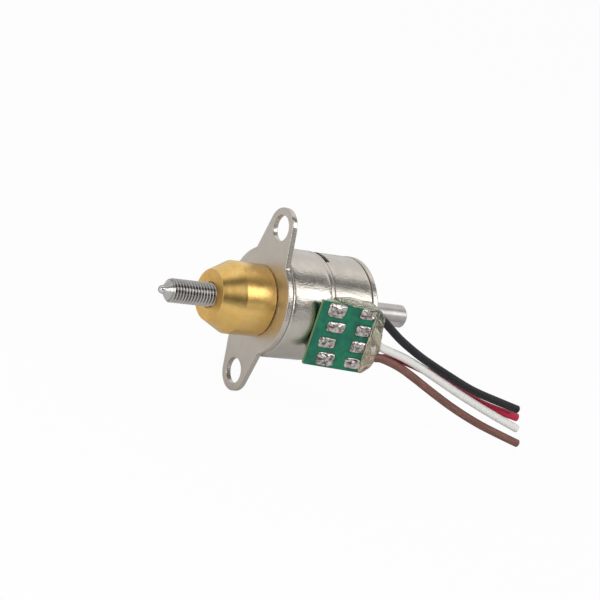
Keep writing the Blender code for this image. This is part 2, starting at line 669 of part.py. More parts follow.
def make_glue(clearances):
    """The bead of glue that seals the board's top and rear edges to the can and holds the wires."""
    half_w, half_h = BOARD_W / 2, BOARD_H / 2
    low = (GLUE_X[0], GLUE_Y[0], -half_h - GLUE_BELOW)
    high = (GLUE_X[1], half_w + GLUE_Y[1], half_h + GLUE_ABOVE)
    bead = box("glue_bead", low, high, BOARD, "glue")
    bevel = bead.modifiers.new("round", "BEVEL")
    bevel.width = 0.4 * MM
    bevel.segments = 2
    low = (GLUE_X[0] - MM, GLUE_Y[0] - MM, -half_h - 2 * MM)
    cut(bead, box("glue_keep_out", low, (2 * MM, half_w - GLUE_ON_BOARD, half_h), BOARD, None))
    low = (-BOARD_T - GAP, -half_w - MM, -half_h - GAP)
    cut(bead, box("glue_board_gap", low, (GAP, half_w + GAP, half_h + GAP), BOARD, None))
    cut(bead, rod("glue_can_gap", CAN_R + GAP * 1.5, 0, 17 * MM, MOTOR, None, steps=48))
    cut(bead, *clearances)


# ---- the whole motor ----
clear_scene()
PARTS = new_collection("stepper_motor_with_lead_screw")
CUTTERS = new_collection("cutters")
MOTOR = empty("motor_axis", None, (0, 0, AXIS_Z))
ROTOR = empty("rotor_axis", MOTOR)
SCREW = empty("screw_axis", ROTOR)
BOARD = empty("board_seat", MOTOR, BOARD_CENTRE, BOARD_TURN)

make_flange()
make_nut()
shared_window = side_window()
make_front_can(shared_window)
make_rear_can(shared_window)
half_claw_step = pi / POLE_PAIRS
front_plate = FRONT_CAN_Y[0] + CAN_WALL
rear_plate = REAR_CAN_Y[1] - CAN_WALL
make_yoke("inner_yoke_front", FRONT_YOKE_Y, front_plate + CLAW_TIP_GAP, half_claw_step)
make_yoke("inner_yoke_rear", REAR_YOKE_Y, rear_plate - CLAW_TIP_GAP, half_claw_step * 1.5)
make_rear_cover()
make_winding("front", front_plate + GAP, FRONT_YOKE_Y[0] - GAP)
make_winding("rear", REAR_YOKE_Y[1] + GAP, rear_plate - GAP)
make_bearings()
make_washers()
make_rotor()
make_lead_screw()
ball("tip_ball", BALL_R, "polished_steel")
make_terminals()
make_board()
make_solder()
make_glue(make_wires())
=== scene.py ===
"""Looks of the tin-can stepper motor with a lead screw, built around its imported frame.

Every piece is modelled in millimetres from the motor's axis and brought into the row frame by
stand_for(), which puts it in the place of its CAD node, on that node's body. The CAD boxes give the
places and main sizes; the values below give the details that are finer than the CAD solids.
"""

import bmesh
import bpy
import json
from functools import cache
from math import atan2, ceil, cos, pi, radians, sin, sqrt, tan
from mathutils import Matrix, Vector, noise


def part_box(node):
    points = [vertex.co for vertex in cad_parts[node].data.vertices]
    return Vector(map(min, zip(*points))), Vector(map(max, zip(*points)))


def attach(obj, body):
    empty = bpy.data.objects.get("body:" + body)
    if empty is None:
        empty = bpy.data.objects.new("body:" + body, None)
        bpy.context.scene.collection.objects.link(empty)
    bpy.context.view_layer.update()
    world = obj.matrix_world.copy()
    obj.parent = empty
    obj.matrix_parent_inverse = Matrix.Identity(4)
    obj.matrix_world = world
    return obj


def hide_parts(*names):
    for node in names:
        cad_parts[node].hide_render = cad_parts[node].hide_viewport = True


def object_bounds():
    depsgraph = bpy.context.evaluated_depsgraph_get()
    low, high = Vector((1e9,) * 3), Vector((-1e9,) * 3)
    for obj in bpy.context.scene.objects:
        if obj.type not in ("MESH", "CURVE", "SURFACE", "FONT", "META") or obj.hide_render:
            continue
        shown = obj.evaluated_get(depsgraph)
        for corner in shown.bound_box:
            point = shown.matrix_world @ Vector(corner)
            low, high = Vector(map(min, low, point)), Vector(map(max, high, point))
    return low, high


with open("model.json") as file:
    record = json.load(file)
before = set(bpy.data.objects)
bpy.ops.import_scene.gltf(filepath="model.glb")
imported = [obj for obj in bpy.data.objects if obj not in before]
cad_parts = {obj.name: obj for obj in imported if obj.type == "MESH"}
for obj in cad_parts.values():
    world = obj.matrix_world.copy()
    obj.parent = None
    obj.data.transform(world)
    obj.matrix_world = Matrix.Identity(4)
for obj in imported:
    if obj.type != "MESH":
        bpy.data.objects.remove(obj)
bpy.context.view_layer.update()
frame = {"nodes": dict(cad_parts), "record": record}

RECORD = frame["record"]
SLOT = {part["node"]: part["material_slot"] for part in RECORD["subparts"]}
BODY = {node: body for body, nodes in RECORD["behaviour"]["bodies"].items() for node in nodes}
SPIN = next(joint for joint in RECORD["behaviour"]["joints"] if joint["name"] == "rotor_spin")
FEED = next(c for c in RECORD["behaviour"]["couplings"] if c["joint"] == "rotor_spin")
MM = 0.001
AXIS = Vector(SPIN["pos_m"]) / MM
PITCH = 2 * pi / FEED["ratio"] / MM
ROUND = 144  # sides of a turned piece


def span(node):
    """A CAD node's lowest and highest corner, in mm from the motor's axis."""
    low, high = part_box(node)
    return low / MM - AXIS, high / MM - AXIS


# ---- details finer than the CAD, in mm ----
FLANGE_R, EAR_R, HOLE_R = 7.3, 2.76, 1.75
EAR_TAPER, EAR_FILLET = radians(13.6), 0.8
FLANGE_EDGE = 0.13
STAKE_R, STAKE_ANGLE = 5.27, radians(-10)
NUT_FACE_R, NUT_CONE_LENGTH = 3.44, 2.88
NUT_MOUTH_R, NUT_MOUTH_DEPTH = 1.80, 0.16
SPIGOT_R = 4.25  # the nut's neck in the flange
BUSH_SEAT_R, BUSH_SEAT_Y = 3.05, 0.32
SCREW_CREST_R, SCREW_ROOT_R = 1.60, 1.31
TAP_CREST_R, TAP_ROOT_R = 1.67, 1.41
THREAD_END_Y = 4.9
CONE_LENGTH, CONE_TIP_R = 0.79, 0.44
SHAFT_CHAMFER = 0.45
FLAT_DEPTH, FLAT_ANGLE = 0.3, radians(135)  # the angle is from +Z towards +X
CAN_WALL, CAN_CORNER, CAN_DENT = 0.5, 0.6, 0.018
PLATE_BORE_R = 4.5
LIP_BAND = 0.62  # the front can's rim is rolled over this length
NOTCH_HALF_WIDTH, NOTCH_LENGTH = 1.75, 0.95
NOTCH_IN_CAN, NOTCH_IN_YOKE = 1.5, 1.9  # how deep it reaches
NOTCH_SHIFT = -0.25  # along the motor, in the can only
WINDOW_GAP = 0.05
YOKE_T = 0.5
POLE_PAIRS = 5
CLAW_IN, CLAW_T, CLAW_BASE, CLAW_TIP, CLAW_TIP_GAP = 4.6, 0.45, 2.4, 1.3, 0.6  # base and tip widths
JOURNAL_R, HUB_R, RELIEF_R, DRIVE_Y = 2.1, 2.68, 1.78, 9.6  # the hub's bore is wide up to DRIVE_Y
BUSH_GAP, WASHER_GAP, SLIDE_GAP = 0.05, 0.07, 0.03
COVER_BORE_R, BUSH_NECK_R = 2.55, 2.5
SHOULDERS_Y = (1.80, 12.75)
BOBBIN_CHEEK, BOBBIN_TUBE_R, BOBBIN_BORE_R = 0.35, 5.5, 5.25
COIL_WIRE = 0.16
SPRING_HALF_T, SPRING_WAVE = 0.05, 0.1
LAMINATE_LOW, LAMINATE_HIGH = -0.555, -0.045  # from the board's outer face
BLOCK_IN_R = 7.02  # the terminal block's hollow side, towards the coils
PIN_R, PIN_LOW, PIN_HIGH = 0.22, -1.45, 0.4  # the heights are from the board's outer face
WIRE_R, WIRE_BORE_R, CORE_R = 0.575, 0.23, 0.19
SLEEVE_SIDES = 32
STRANDS, STRAND_LAY = 7, 4.5  # the strands go once round in one lay
GLUE_GAP, GLUE_LAP = 0.03, 0.35


# ---- mesh helpers; all of them work in mm from the motor's axis ----
def mesh_of(bm):
    """A mesh from a finished bmesh, with its faces turned outwards."""
    bmesh.ops.recalc_face_normals(bm, faces=bm.faces)
    mesh = bpy.data.meshes.new("work")
    bm.to_mesh(mesh)
    bm.free()
    return mesh


def new_object(name, data):
    """An object in the scene that shows a mesh, a light or a camera."""
    obj = bpy.data.objects.new(name, data)
    bpy.context.scene.collection.objects.link(obj)
    return obj


def bridge(bm, one, other):
    """The faces between two rings of points; a ring of a single point makes a fan."""
    for i in range(max(len(one), len(other))):
        corners = [one[i % len(one)], one[(i + 1) % len(one)]]
        corners += [other[(i + 1) % len(other)], other[i % len(other)]]
        bm.faces.new(list(dict.fromkeys(corners)))


def circle(count, laps=1):
    """Evenly spaced angles round a circle."""
    return [2 * pi * i / count for i in range(count * laps)]


def on_axis(radius, along, angle):
    """A point by its radius, its y and its angle from +Z towards +X."""
    return Vector((radius * sin(angle), along, radius * cos(angle)))


def fillet(corners, pieces=5):
    """The (radius, y) points of a profile whose (radius, y, rounding) corners are rounded off."""
    points = []
    count = len(corners)
    for i, corner in enumerate(corners):
        here = Vector(corner[:2])
        if len(corner) == 2:
            points.append(here)
            continue
        back = Vector(corners[i - 1][:2]) - here
        on = Vector(corners[(i + 1) % count][:2]) - here
        half = back.angle(on) / 2
        room = min(corner[2] / tan(half), back.length * 0.45, on.length * 0.45)
        start, end = here + back.normalized() * room, here + on.normalized() * room
        for step in range(pieces + 1):
            t = step / pieces
            bow = 2 * t * (1 - t)
            points.append(start * (1 - t) ** 2 + here * bow + end * t**2)
    return points


def densify(points, longest, closed=True):
    """Split a profile's long stretches into pieces no longer than a given length."""
    out = []
    following = points[1:] + points[:1] if closed else points[1:]
    for a, b in zip(points, following):
        a, b = Vector(a), Vector(b)
        pieces = max(1, ceil((b - a).length / longest))
        out += [a.lerp(b, step / pieces) for step in range(pieces)]
    return out if closed else out + [points[-1]]


def revolve(profile, closed=True, steps=ROUND, shape=None):
    """Turn a profile about the motor's axis; shape(radius, y, angle) can vary the radius on the way."""
    bm = bmesh.new()
    angles = circle(steps)
    rings = []
    for radius, along in profile:
        if radius < 1e-6:
            rings.append([bm.verts.new(on_axis(0, along, 0))])
            continue
        radii = [shape(radius, along, angle) if shape else radius for angle in angles]
        rings.append([bm.verts.new(on_axis(r, along, a)) for r, a in zip(radii, angles)])
    for one, other in zip(rings, rings[1:] + rings[:1] if closed else rings[1:]):
        bridge(bm, one, other)
    return mesh_of(bm)


def block(low, high, bevel=0.0, segments=2):
    """A box between two corners, with rounded edges."""
    bm = bmesh.new()
    bmesh.ops.create_cube(bm, size=1.0)
    for vert in bm.verts:
        vert.co = [low[i] + (high[i] - low[i]) * (vert.co[i] + 0.5) for i in range(3)]
    if bevel:
        bmesh.ops.bevel(bm, geom=bm.edges[:], offset=bevel, segments=segments, profile=0.5,
                        affect="EDGES")
    return mesh_of(bm)


def placed(mesh, matrix):
    """A mesh after it is moved."""
    mesh.transform(matrix)
    return mesh


def joined(*meshes):
    """Several separate meshes in one."""
    bm = bmesh.new()
    for mesh in meshes:
        bm.from_mesh(mesh)
    return mesh_of(bm)


def evaluated(mesh, *modifiers):
    """A mesh after modifiers, each given as (type, settings)."""
    obj = new_object("work", mesh)
    for kind, settings in modifiers:
        modifier = obj.modifiers.new(kind, kind)
        for key, value in settings.items():
            setattr(modifier, key, value)
    depsgraph = bpy.context.evaluated_depsgraph_get()
    result = bpy.data.meshes.new_from_object(obj.evaluated_get(depsgraph))
    bpy.data.objects.remove(obj)
    return result


def bevelled(mesh, segments):
    """A mesh with its sharp edges rounded."""
    return evaluated(mesh, ("BEVEL", {"width": 0.07, "segments": segments, "limit_method": "ANGLE"}))


def remeshed(mesh, voxel, rounds):
    """A mesh made anew from small cubes and smoothed in rounds."""
    return evaluated(mesh, ("REMESH", {"mode": "VOXEL", "voxel_size": voxel}),
                     ("SMOOTH", {"factor": 0.6, "iterations": rounds}))


def combine(mesh, *tools, operation="DIFFERENCE"):
    """A mesh after a Boolean with each tool."""
    helpers = [new_object("tool", tool) for tool in tools]
    settings = {"operation": operation, "solver": "EXACT"}
    result = evaluated(mesh, *[("BOOLEAN", {**settings, "object": helper}) for helper in helpers])
    for helper in helpers:
        bpy.data.objects.remove(helper)
    return result


def stations(path):
    """Each point of a path, with the length run to it and two directions square to the path."""
    normal = Vector((0, 0, 1))
    travelled = 0.0
    for index, point in enumerate(path):
        back = path[max(index - 1, 0)]
        travelled += (point - back).length
        ahead = (path[min(index + 1, len(path) - 1)] - back).normalized()
        normal = (normal - ahead * normal.dot(ahead)).normalized()
        yield point, travelled, normal, ahead.cross(normal)


def sweep(path, radius, sides=20, bore=0.0, shape=None):
    """A round bar along a path, or a sleeve with a bore; shape(index, angle) scales the outer radius."""
    bm = bmesh.new()
    rings = []
    for index, (point, _, normal, across) in enumerate(stations(path)):
        layer = []
        for reach in ((radius, bore) if bore else (radius,)):
            ring = []
            for angle in circle(sides):
                out = reach * (shape(index, angle) if shape and reach == radius else 1)
                ring.append(bm.verts.new(point + (normal * cos(angle) + across * sin(angle)) * out))
            layer.append(ring)
        rings.append(layer)
    for one, other in zip(rings, rings[1:]):
        for a, b in zip(one, other):
            bridge(bm, a, b)
    for layer in (rings[0], rings[-1]):
        if bore:
            bridge(bm, *layer)
        else:
            bm.faces.new(layer[0])
    return mesh_of(bm)


def smooth_run(points, pieces):
    """A Catmull-Rom curve through points, with the same number of pieces between each two."""
    ends = [points[0] * 2 - points[1], *points, points[-1] * 2 - points[-2]]
    run = []
    for a, b, c, d in zip(ends, ends[1:], ends[2:], ends[3:]):
        for step in range(pieces):
            t = step / pieces
            run.append(0.5 * (2 * b + (c - a) * t + (2 * a - 5 * b + 4 * c - d) * t * t
                              + (3 * b - a - 3 * c + d) * t**3))
    return run + [points[-1]]


def wave(place, seed=0.0):
    """Smooth noise from -1 to 1 at a place."""
    return noise.noise(Vector(place) + Vector((seed, seed * 1.7, seed * 2.3)))


def keep_places(mesh, places):
    """Keep a place with each point of a mesh, for its material."""
    marks = mesh.attributes.new("place", "FLOAT_VECTOR", "POINT")
    for mark, place in zip(marks.data, places):
        mark.vector = place


def stand_for(node, mesh, sharp=35.0):
    """Put a finished mesh in the place of its CAD node."""
    mesh.transform(Matrix.Translation(AXIS))
    mesh.transform(Matrix.Scale(MM, 4))
    mesh.name = node + "_fine"
    mesh.materials.clear()
    mesh.materials.append(look(SLOT[node]))
    mesh.shade_smooth()
    mesh.set_sharp_from_angle(angle=radians(sharp))
    obj = new_object(node + "_fine", mesh)
    obj.modifiers.new("even normals", "WEIGHTED_NORMAL").keep_sharp = True
    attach(obj, BODY[node])
    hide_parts(node)


# ---- materials ----
class Nodes:
    """A node tree in the making; a value is a number, a colour, a vector or another node's output."""

    def __init__(self, owner):
        owner.use_nodes = True
        self.tree = owner.node_tree

    def add(self, kind, inputs=None, **settings):
        node = self.tree.nodes.new("ShaderNode" + kind)
        for key, value in settings.items():
            setattr(node, key, value)
        for key, value in (inputs or {}).items():
            self.feed(node.inputs[key], value)
        return node

    def feed(self, socket, value):
        if isinstance(value, bpy.types.NodeSocket):
            self.tree.links.new(value, socket)
        elif isinstance(value, tuple) and len(value) == 3 and socket.type == "RGBA":
            socket.default_value = (*value, 1.0)
        else:
            socket.default_value = value

    def remap(self, value, low, high, to_low=0.0, to_high=1.0, **settings):
        inputs = {"Value": value, "From Min": low, "From Max": high, "To Min": to_low, "To Max": to_high}
        return self.add("MapRange", inputs, **settings).outputs["Result"]

    def blend(self, share, a, b):
        return self.add("Mix", {0: share, 6: a, 7: b}, data_type="RGBA").outputs[2]

    def math(self, operation, a, b=0.0):
        return self.add("Math", {0: a, 1: b}, operation=operation).outputs[0]

    def times(self, a, b):
        return self.math("MULTIPLY", a, b)

    def vector_math(self, operation, a, b):
        return self.add("VectorMath", {0: a, 1: b}, operation=operation).outputs

    def scaled(self, vector, scale):
        return self.add("VectorMath", {0: vector, "Scale": scale}, operation="SCALE").outputs[0]

    def split(self, vector):
        """The x, y and z of a vector."""
        return self.add("SeparateXYZ", {0: vector}).outputs


class Shader(Nodes):
    """A node material in the making: a Principled surface and textures measured in mm."""

    def __init__(self, name):
        self.material = bpy.data.materials.new(name)
        super().__init__(self.material)
        self.surface = self.tree.nodes["Principled BSDF"]
        self.mm = self.scaled(self.add("TexCoord").outputs["Object"], 1 / MM)

    def set(self, **values):
        """Values for the Principled surface's inputs."""
        for key, value in values.items():
            self.feed(self.surface.inputs[key.replace("_", " ")], value)

    def kept_place(self):
        """The place that keep_places() kept with each point of the mesh."""
        return self.add("Attribute", attribute_name="place").outputs["Vector"]

    def noise(self, scale, detail=3.0, rough=0.5, vector=None, warp=0.0):
        inputs = {"Vector": vector or self.mm, "Scale": scale, "Detail": detail, "Roughness": rough,
                  "Distortion": warp}
        return self.add("TexNoise", inputs).outputs["Fac"]

    def stretched(self, x, y, z, place=None):
        """The place in mm, scaled by a different factor along each axis."""
        return self.vector_math("MULTIPLY", place or self.mm, Vector((x, y, z)))[0]

    def facing_along(self):
        """1 where the surface faces along the motor's axis, 0 where it faces away from it."""
        normal = self.add("NewGeometry").outputs["Normal"]
        return self.remap(self.math("ABSOLUTE", self.split(normal)[1]), 0.75, 1.0)

    def grazing(self):
        """0 where the surface faces the camera, rising to 1 at its outline."""
        return self.add("LayerWeight", {"Blend": 0.5}).outputs["Facing"]

    def bump(self, height, depth, normal=None):
        """A bump of a depth in mm."""
        inputs = {"Height": height, "Distance": depth * MM}
        if normal:
            inputs["Normal"] = normal
        return self.add("Bump", inputs).outputs["Normal"]


def metal(s, light, dark, roughness, mottle, depth, lines=0.0, end_faces=0.0):
    """Bare metal: mottled, with turning marks as deep as lines and end faces duller by end_faces."""
    stain = s.remap(s.noise(0.45, 5, 0.6, warp=0.6), 0.35, 0.68)
    speck = s.remap(s.noise(mottle * 0.7, 4, 0.7), 0.60, 0.74)
    colour = s.blend(stain, light, dark)
    shade = tuple(channel * 0.62 for channel in dark)
    s.set(Base_Color=s.blend(s.times(speck, 0.5), colour, shade), Metallic=1.0)
    grain = s.remap(s.noise(mottle * 0.4, 4, 0.65), 0.3, 0.7, *roughness)
    s.set(Roughness=s.math("ADD", grain, s.times(s.facing_along(), end_faces)))
    normal = s.bump(s.noise(mottle, 3, 0.6), depth)
    if lines:
        turning = s.noise(1.0, 3, 0.7, s.stretched(0.08, 22.0, 0.08))
        normal = s.bump(turning, lines, normal)
    s.set(Normal=normal)


def nickel_plate(s):
    """Dull nickel plate over drawn steel: flat faces are matt, round ones grainy and brighter."""
    stain = s.remap(s.noise(0.35, 5, 0.6, warp=0.8), 0.35, 0.7)
    colour = s.blend(stain, (0.60, 0.56, 0.51), (0.52, 0.48, 0.435))
    flat = s.facing_along()
    colour = s.blend(s.times(flat, 0.5), colour, (0.74, 0.685, 0.62))
    pits = s.remap(s.noise(5.0, 5, 0.75), 0.63, 0.72)
    s.set(Base_Color=s.blend(s.times(pits, 0.6), colour, (0.16, 0.14, 0.12)), Metallic=1.0)
    grain = s.remap(s.noise(2.5, 4, 0.7), 0.3, 0.7, 0.08, 0.20)
    s.set(Roughness=s.math("ADD", grain, s.times(flat, 0.26)))
    coarse = s.bump(s.noise(0.8, 2, 0.5), 0.03)
    s.set(Normal=s.bump(s.noise(4.3, 2.5, 0.6), 0.038, coarse))


def steel(s):
    """Bright where the thread is rolled, with painted shade in its roots, satin ground on the shaft behind
    it.
    """
    stain = s.remap(s.noise(0.6, 5, 0.6, warp=0.5), 0.35, 0.68)
    colour = s.blend(stain, (0.58, 0.565, 0.55), (0.47, 0.455, 0.44))
    x, along, z = s.split(s.vector_math("SUBTRACT", s.mm, AXIS)[0])
    radius = s.math("POWER", s.math("ADD", s.times(x, x), s.times(z, z)), 0.5)
    behind_cone = s.math("GREATER_THAN", along, CONE_BASE_Y)
    on_thread = s.times(behind_cone, s.math("LESS_THAN", along, THREAD_END_Y))
    # painted shade: the base colour darkens towards near black down into the thread's roots
    root_shade = s.times(on_thread, s.remap(radius, SCREW_ROOT_R, SCREW_CREST_R - 0.05, 0.6, 0.0))
    s.set(Base_Color=s.blend(root_shade, colour, (0.06, 0.055, 0.05)), Metallic=1.0)
    ground = s.remap(along, THREAD_END_Y, THREAD_END_Y + 1, 0.0, 0.2)
    s.set(Roughness=s.math("ADD", s.remap(s.noise(2.4, 4, 0.65), 0.3, 0.7, 0.12, 0.22), ground))
    lines = s.bump(s.noise(1.0, 3, 0.7, s.stretched(0.1, 18.0, 0.1)), 0.006)
    s.set(Normal=s.bump(s.noise(6.0, 3, 0.6), 0.008, lines))


def polished_steel(s):
    """A polished ball, with a painted dark outline for the reflection a mirror ball shows at its rim in a
    pale room.
    """
    haze = s.noise(9.0, 3, 0.6)
    # painted reflection: the base colour goes near black towards the ball's outline
    rim = s.remap(s.grazing(), 0.25, 0.8, 0.0, 0.9)
    colour = s.blend(haze, (0.76, 0.74, 0.73), (0.66, 0.64, 0.63))
    s.set(Base_Color=s.blend(rim, colour, (0.05, 0.045, 0.045)), Metallic=1.0)
    s.set(Roughness=s.remap(haze, 0.3, 0.7, 0.05, 0.12), Normal=s.bump(haze, 0.002))


def plastic(s, light, dark):
    """Moulded plastic with a faint grain."""
    s.set(Base_Color=s.blend(s.remap(s.noise(0.8, 4, 0.6), 0.35, 0.65), light, dark))
    s.set(Roughness=s.remap(s.noise(5.0, 3, 0.6), 0.3, 0.7, 0.42, 0.58))
    s.set(Normal=s.bump(s.noise(11.0, 3, 0.6), 0.006))


def ferrite(s):
    """Dark sintered magnet, with paler grains."""
    grains = s.remap(s.noise(9.0, 5, 0.75), 0.4, 0.66)
    s.set(Base_Color=s.blend(grains, (0.045, 0.045, 0.05), (0.10, 0.10, 0.105)), Roughness=0.62)
    s.set(Normal=s.bump(s.noise(12.0, 5, 0.7), 0.02))


def copper_winding(s):
    """Varnished copper wire, streaked along its turns."""
    turn = s.noise(0.9, 3, 0.6, s.stretched(0.3, 6.0, 0.3))
    s.set(Base_Color=s.blend(turn, (0.62, 0.24, 0.08), (0.42, 0.13, 0.04)), Metallic=0.9)
    s.set(Roughness=0.3, Coat_Weight=0.6, Coat_Roughness=0.15)


def board_green(s):
    """Green solder mask over copper and glass cloth, with the bare laminate at the cut edges."""
    depth = s.split(s.kept_place())[0]
    cloth = s.noise(3.0, 2, 0.5, s.stretched(1.0, 4.0, 1.0))
    patches = s.remap(s.noise(0.6, 4, 0.7, warp=0.5), 0.38, 0.62)
    mask = s.blend(patches, (0.014, 0.19, 0.10), (0.014, 0.095, 0.075))
    mask = s.blend(s.times(cloth, 0.2), mask, (0.02, 0.32, 0.17))
    below_mask = s.math("LESS_THAN", depth, LAMINATE_HIGH)
    inside = s.times(below_mask, s.math("GREATER_THAN", depth, LAMINATE_LOW))
    laminate = s.blend(s.noise(9.0, 3, 0.7), (0.33, 0.38, 0.16), (0.10, 0.27, 0.13))
    s.set(Base_Color=s.blend(inside, mask, laminate))
    s.set(Roughness=s.remap(s.noise(2.0, 3, 0.6), 0.3, 0.7, 0.28, 0.46), Specular_IOR_Level=0.25)
    s.set(Normal=s.bump(s.noise(2.6, 4, 0.6), 0.02))


def solder(s):
    """Bright solder with a dull skin in places and a little burnt flux."""
    flux = s.remap(s.noise(1.3, 4, 0.7, warp=0.4), 0.60, 0.70)
    skin = s.remap(s.noise(2.2, 4, 0.7), 0.46, 0.60)
    colour = s.blend(skin, (0.68, 0.64, 0.61), (0.17, 0.145, 0.135))
    s.set(Base_Color=s.blend(s.times(flux, 0.8), colour, (0.22, 0.10, 0.05)))
    s.set(Metallic=1.0, Roughness=s.remap(skin, 0.0, 1.0, 0.08, 0.26))
    s.set(Normal=s.bump(s.noise(2.6, 3, 0.6), 0.02))


def insulation(s, light, dark, roughness, rim):
    """Soft wire insulation, mottled along its length, scuffed, with painted shade darkening it by a share
    at its rim.
    """
    place = s.kept_place()
    drawn = s.stretched(2.2, 0.22, 2.2, place)
    fibres = s.remap(s.noise(2.0, 4, 0.7, drawn), 0.3, 0.7)
    scuff = s.remap(s.noise(2.0, 5, 0.8, place), 0.60, 0.74)
    paler = tuple(min(1.0, channel * 1.6 + 0.02) for channel in light)
    tone = s.blend(s.times(scuff, 0.5), s.blend(fibres, dark, light), paler)
    shade = tuple(channel * 0.35 for channel in dark)
    # painted shade: the colour darkens towards the wire's outline by the share rim
    s.set(Base_Color=s.blend(s.remap(s.grazing(), 0.35, 0.95, 0.0, rim), tone, shade))
    s.set(Roughness=s.remap(s.noise(4.0, 4, 0.7, place), 0.3, 0.7, *roughness), Specular_IOR_Level=0.3)
    s.set(Normal=s.bump(s.noise(3.0, 4, 0.7, drawn), 0.05, s.bump(s.noise(2.5, 4, 0.7, place), 0.02)))


def glue(s):
    """Clear glue, clouded and stained amber in places, more so low down."""
    cloudy = s.remap(s.split(s.mm)[2], AXIS.z - 5, AXIS.z + 3, 0.14, -0.04)
    cloud = s.remap(s.math("ADD", s.noise(0.9, 5, 0.7, warp=0.5), cloudy), 0.44, 0.70)
    s.set(Base_Color=s.blend(cloud, (0.88, 0.93, 0.82), (1.0, 0.82, 0.60)), IOR=1.42)
    s.set(Transmission_Weight=s.remap(cloud, 0.0, 1.0, 0.98, 0.68))
    s.set(Roughness=s.remap(s.noise(3.0, 3, 0.6), 0.3, 0.7, 0.02, 0.12))
    s.set(Normal=s.bump(s.noise(2.0, 4, 0.65), 0.08))


# each slot's maker and the values it gets after the slot's shader
MAKERS = {
    "nickel_plate": (nickel_plate,),
    "brass": (metal, (0.92, 0.62, 0.22), (0.80, 0.50, 0.155), (0.13, 0.26), 4.0, 0.020, 0.017, 0.3),
    "steel": (steel,),
    "polished_steel": (polished_steel,),
    "bronze": (metal, (0.56, 0.38, 0.20), (0.42, 0.27, 0.13), (0.34, 0.50), 11.0, 0.012),
    "ferrite": (ferrite,),
    "copper_winding": (copper_winding,),
    "bobbin_plastic": (plastic, (0.05, 0.05, 0.05), (0.035, 0.035, 0.035)),
    "terminal_plastic": (plastic, (0.72, 0.69, 0.60), (0.62, 0.59, 0.50)),
    "washer_plastic": (plastic, (0.72, 0.70, 0.62), (0.62, 0.60, 0.52)),
    "board": (board_green,),
    "solder": (solder,),
    "tinned_copper": (metal, (0.78, 0.66, 0.52), (0.70, 0.55, 0.40), (0.22, 0.36), 9.0, 0.004),
    # the last value of each insulation is its share of painted shade at the outline
    "insulation_black": (insulation, (0.024, 0.024, 0.030), (0.004, 0.004, 0.006), (0.42, 0.66), 0.9),
    "insulation_white": (insulation, (0.90, 0.89, 0.86), (0.80, 0.79, 0.76), (0.40, 0.55), 0.35),
    "insulation_red": (insulation, (0.62, 0.03, 0.08), (0.44, 0.015, 0.05), (0.40, 0.55), 0.4),
    "insulation_brown": (insulation, (0.30, 0.125, 0.10), (0.115, 0.06, 0.045), (0.42, 0.60), 0.8),
    "glue": (glue,),
}


@cache
def look(slot):
    """The material of a slot, made when it is first asked for."""
    maker, *values = MAKERS[slot]
    s = Shader(slot)
    maker(s, *values)
    return s.material


# ---- the case ----
def arc(centre, radius, start, end, count):
    """Points along an arc, both ends included."""
    angles = [start + (end - start) * i / count for i in range(count + 1)]
    return [(centre[0] + radius * cos(a), centre[1] + radius * sin(a)) for a in angles]


def flange_outline(ear_z):
    """A disc with two tapering ears, as points (x, z)."""
    side = Vector((cos(EAR_TAPER), sin(EAR_TAPER)))
    along = Vector((sin(EAR_TAPER), -cos(EAR_TAPER)))
    out = EAR_R + ear_z * side.y + EAR_FILLET
    back = sqrt((FLANGE_R + EAR_FILLET) ** 2 - out**2)
    corner = side * out - along * back
    disc_angle = Vector(corner).angle_signed(Vector((1, 0)))
    quarter = arc((0, 0), FLANGE_R, 0, disc_angle, 22)
    quarter += arc(corner, EAR_FILLET, disc_angle + pi, pi + EAR_TAPER, 8)[1:]
    quarter += arc((0, ear_z), EAR_R, EAR_TAPER, pi / 2, 18)
    left = [(-x, z) for x, z in reversed(quarter[:-1])]
    top = quarter + left
    return top + [(-x, -z) for x, z in top[1:-1]]


def rounded_plate(outline, holes, low, high, edge):
    """A flat plate in the XZ plane whose outline and holes have rounded edges."""
    bm = bmesh.new()
    rims = {low: [], high: []}
    steps = [pi / 2 * i / 5 for i in range(6)]
    for loop, inward in [(outline, 1)] + [(hole, -1) for hole in holes]:
        count = len(loop)
        area = sum(loop[i - 1][0] * loop[i][1] - loop[i][0] * loop[i - 1][1] for i in range(count))
        side = inward if area > 0 else -inward
        rings = []
        for face_y, towards in ((low, 1), (high, -1)):
            for angle in steps if towards > 0 else steps[::-1]:
                shift = edge * (1 - sin(angle)) * side
                y = face_y + edge * (1 - cos(angle)) * towards
                ring = []
                for i, point in enumerate(loop):
                    ahead = Vector(loop[(i + 1) % count]) - Vector(loop[i - 1])
                    inside = Vector((-ahead.y, ahead.x)).normalized() * shift
                    ring.append(bm.verts.new((point[0] + inside.x, y, point[1] + inside.y)))
                rings.append(ring)
        for one, other in zip(rings, rings[1:]):
            bridge(bm, one, other)
        rims[low].append(rings[0])
        rims[high].append(rings[-1])
    for loops in rims.values():
        edges = [bm.edges.get((ring[i - 1], ring[i])) for ring in loops for i in range(len(ring))]
        bmesh.ops.triangle_fill(bm, edges=edges, use_beauty=True)
    return mesh_of(bm)


def make_flange():
    """The plate, with the edges rounded by tumbling and a stake mark that locks the nut."""
    low, high = span("mounting_flange")
    ear_z = high.z - EAR_R
    holes = [arc((0, 0), SPIGOT_R + 0.06, 0, 2 * pi, ROUND)[:-1]]
    holes += [arc((0, z), HOLE_R, 0, 2 * pi, 64)[:-1] for z in (ear_z, -ear_z)]
    sheet = rounded_plate(flange_outline(ear_z), holes, low.y, high.y, FLANGE_EDGE)
    punch = block((-0.16, -0.22, -0.42), (0.16, 0.22, 0.42), 0.13, 3)
    turn = Matrix.Rotation(STAKE_ANGLE, 4, "Y") @ Matrix.Translation((STAKE_R, low.y, 0))
    stand_for("mounting_flange", combine(sheet, placed(punch, turn)))


# the screw's thread starts behind its cone tip
CONE_BASE_Y = (span("tip_ball")[0].y + span("tip_ball")[1].y) / 2 + 0.05 + CONE_LENGTH


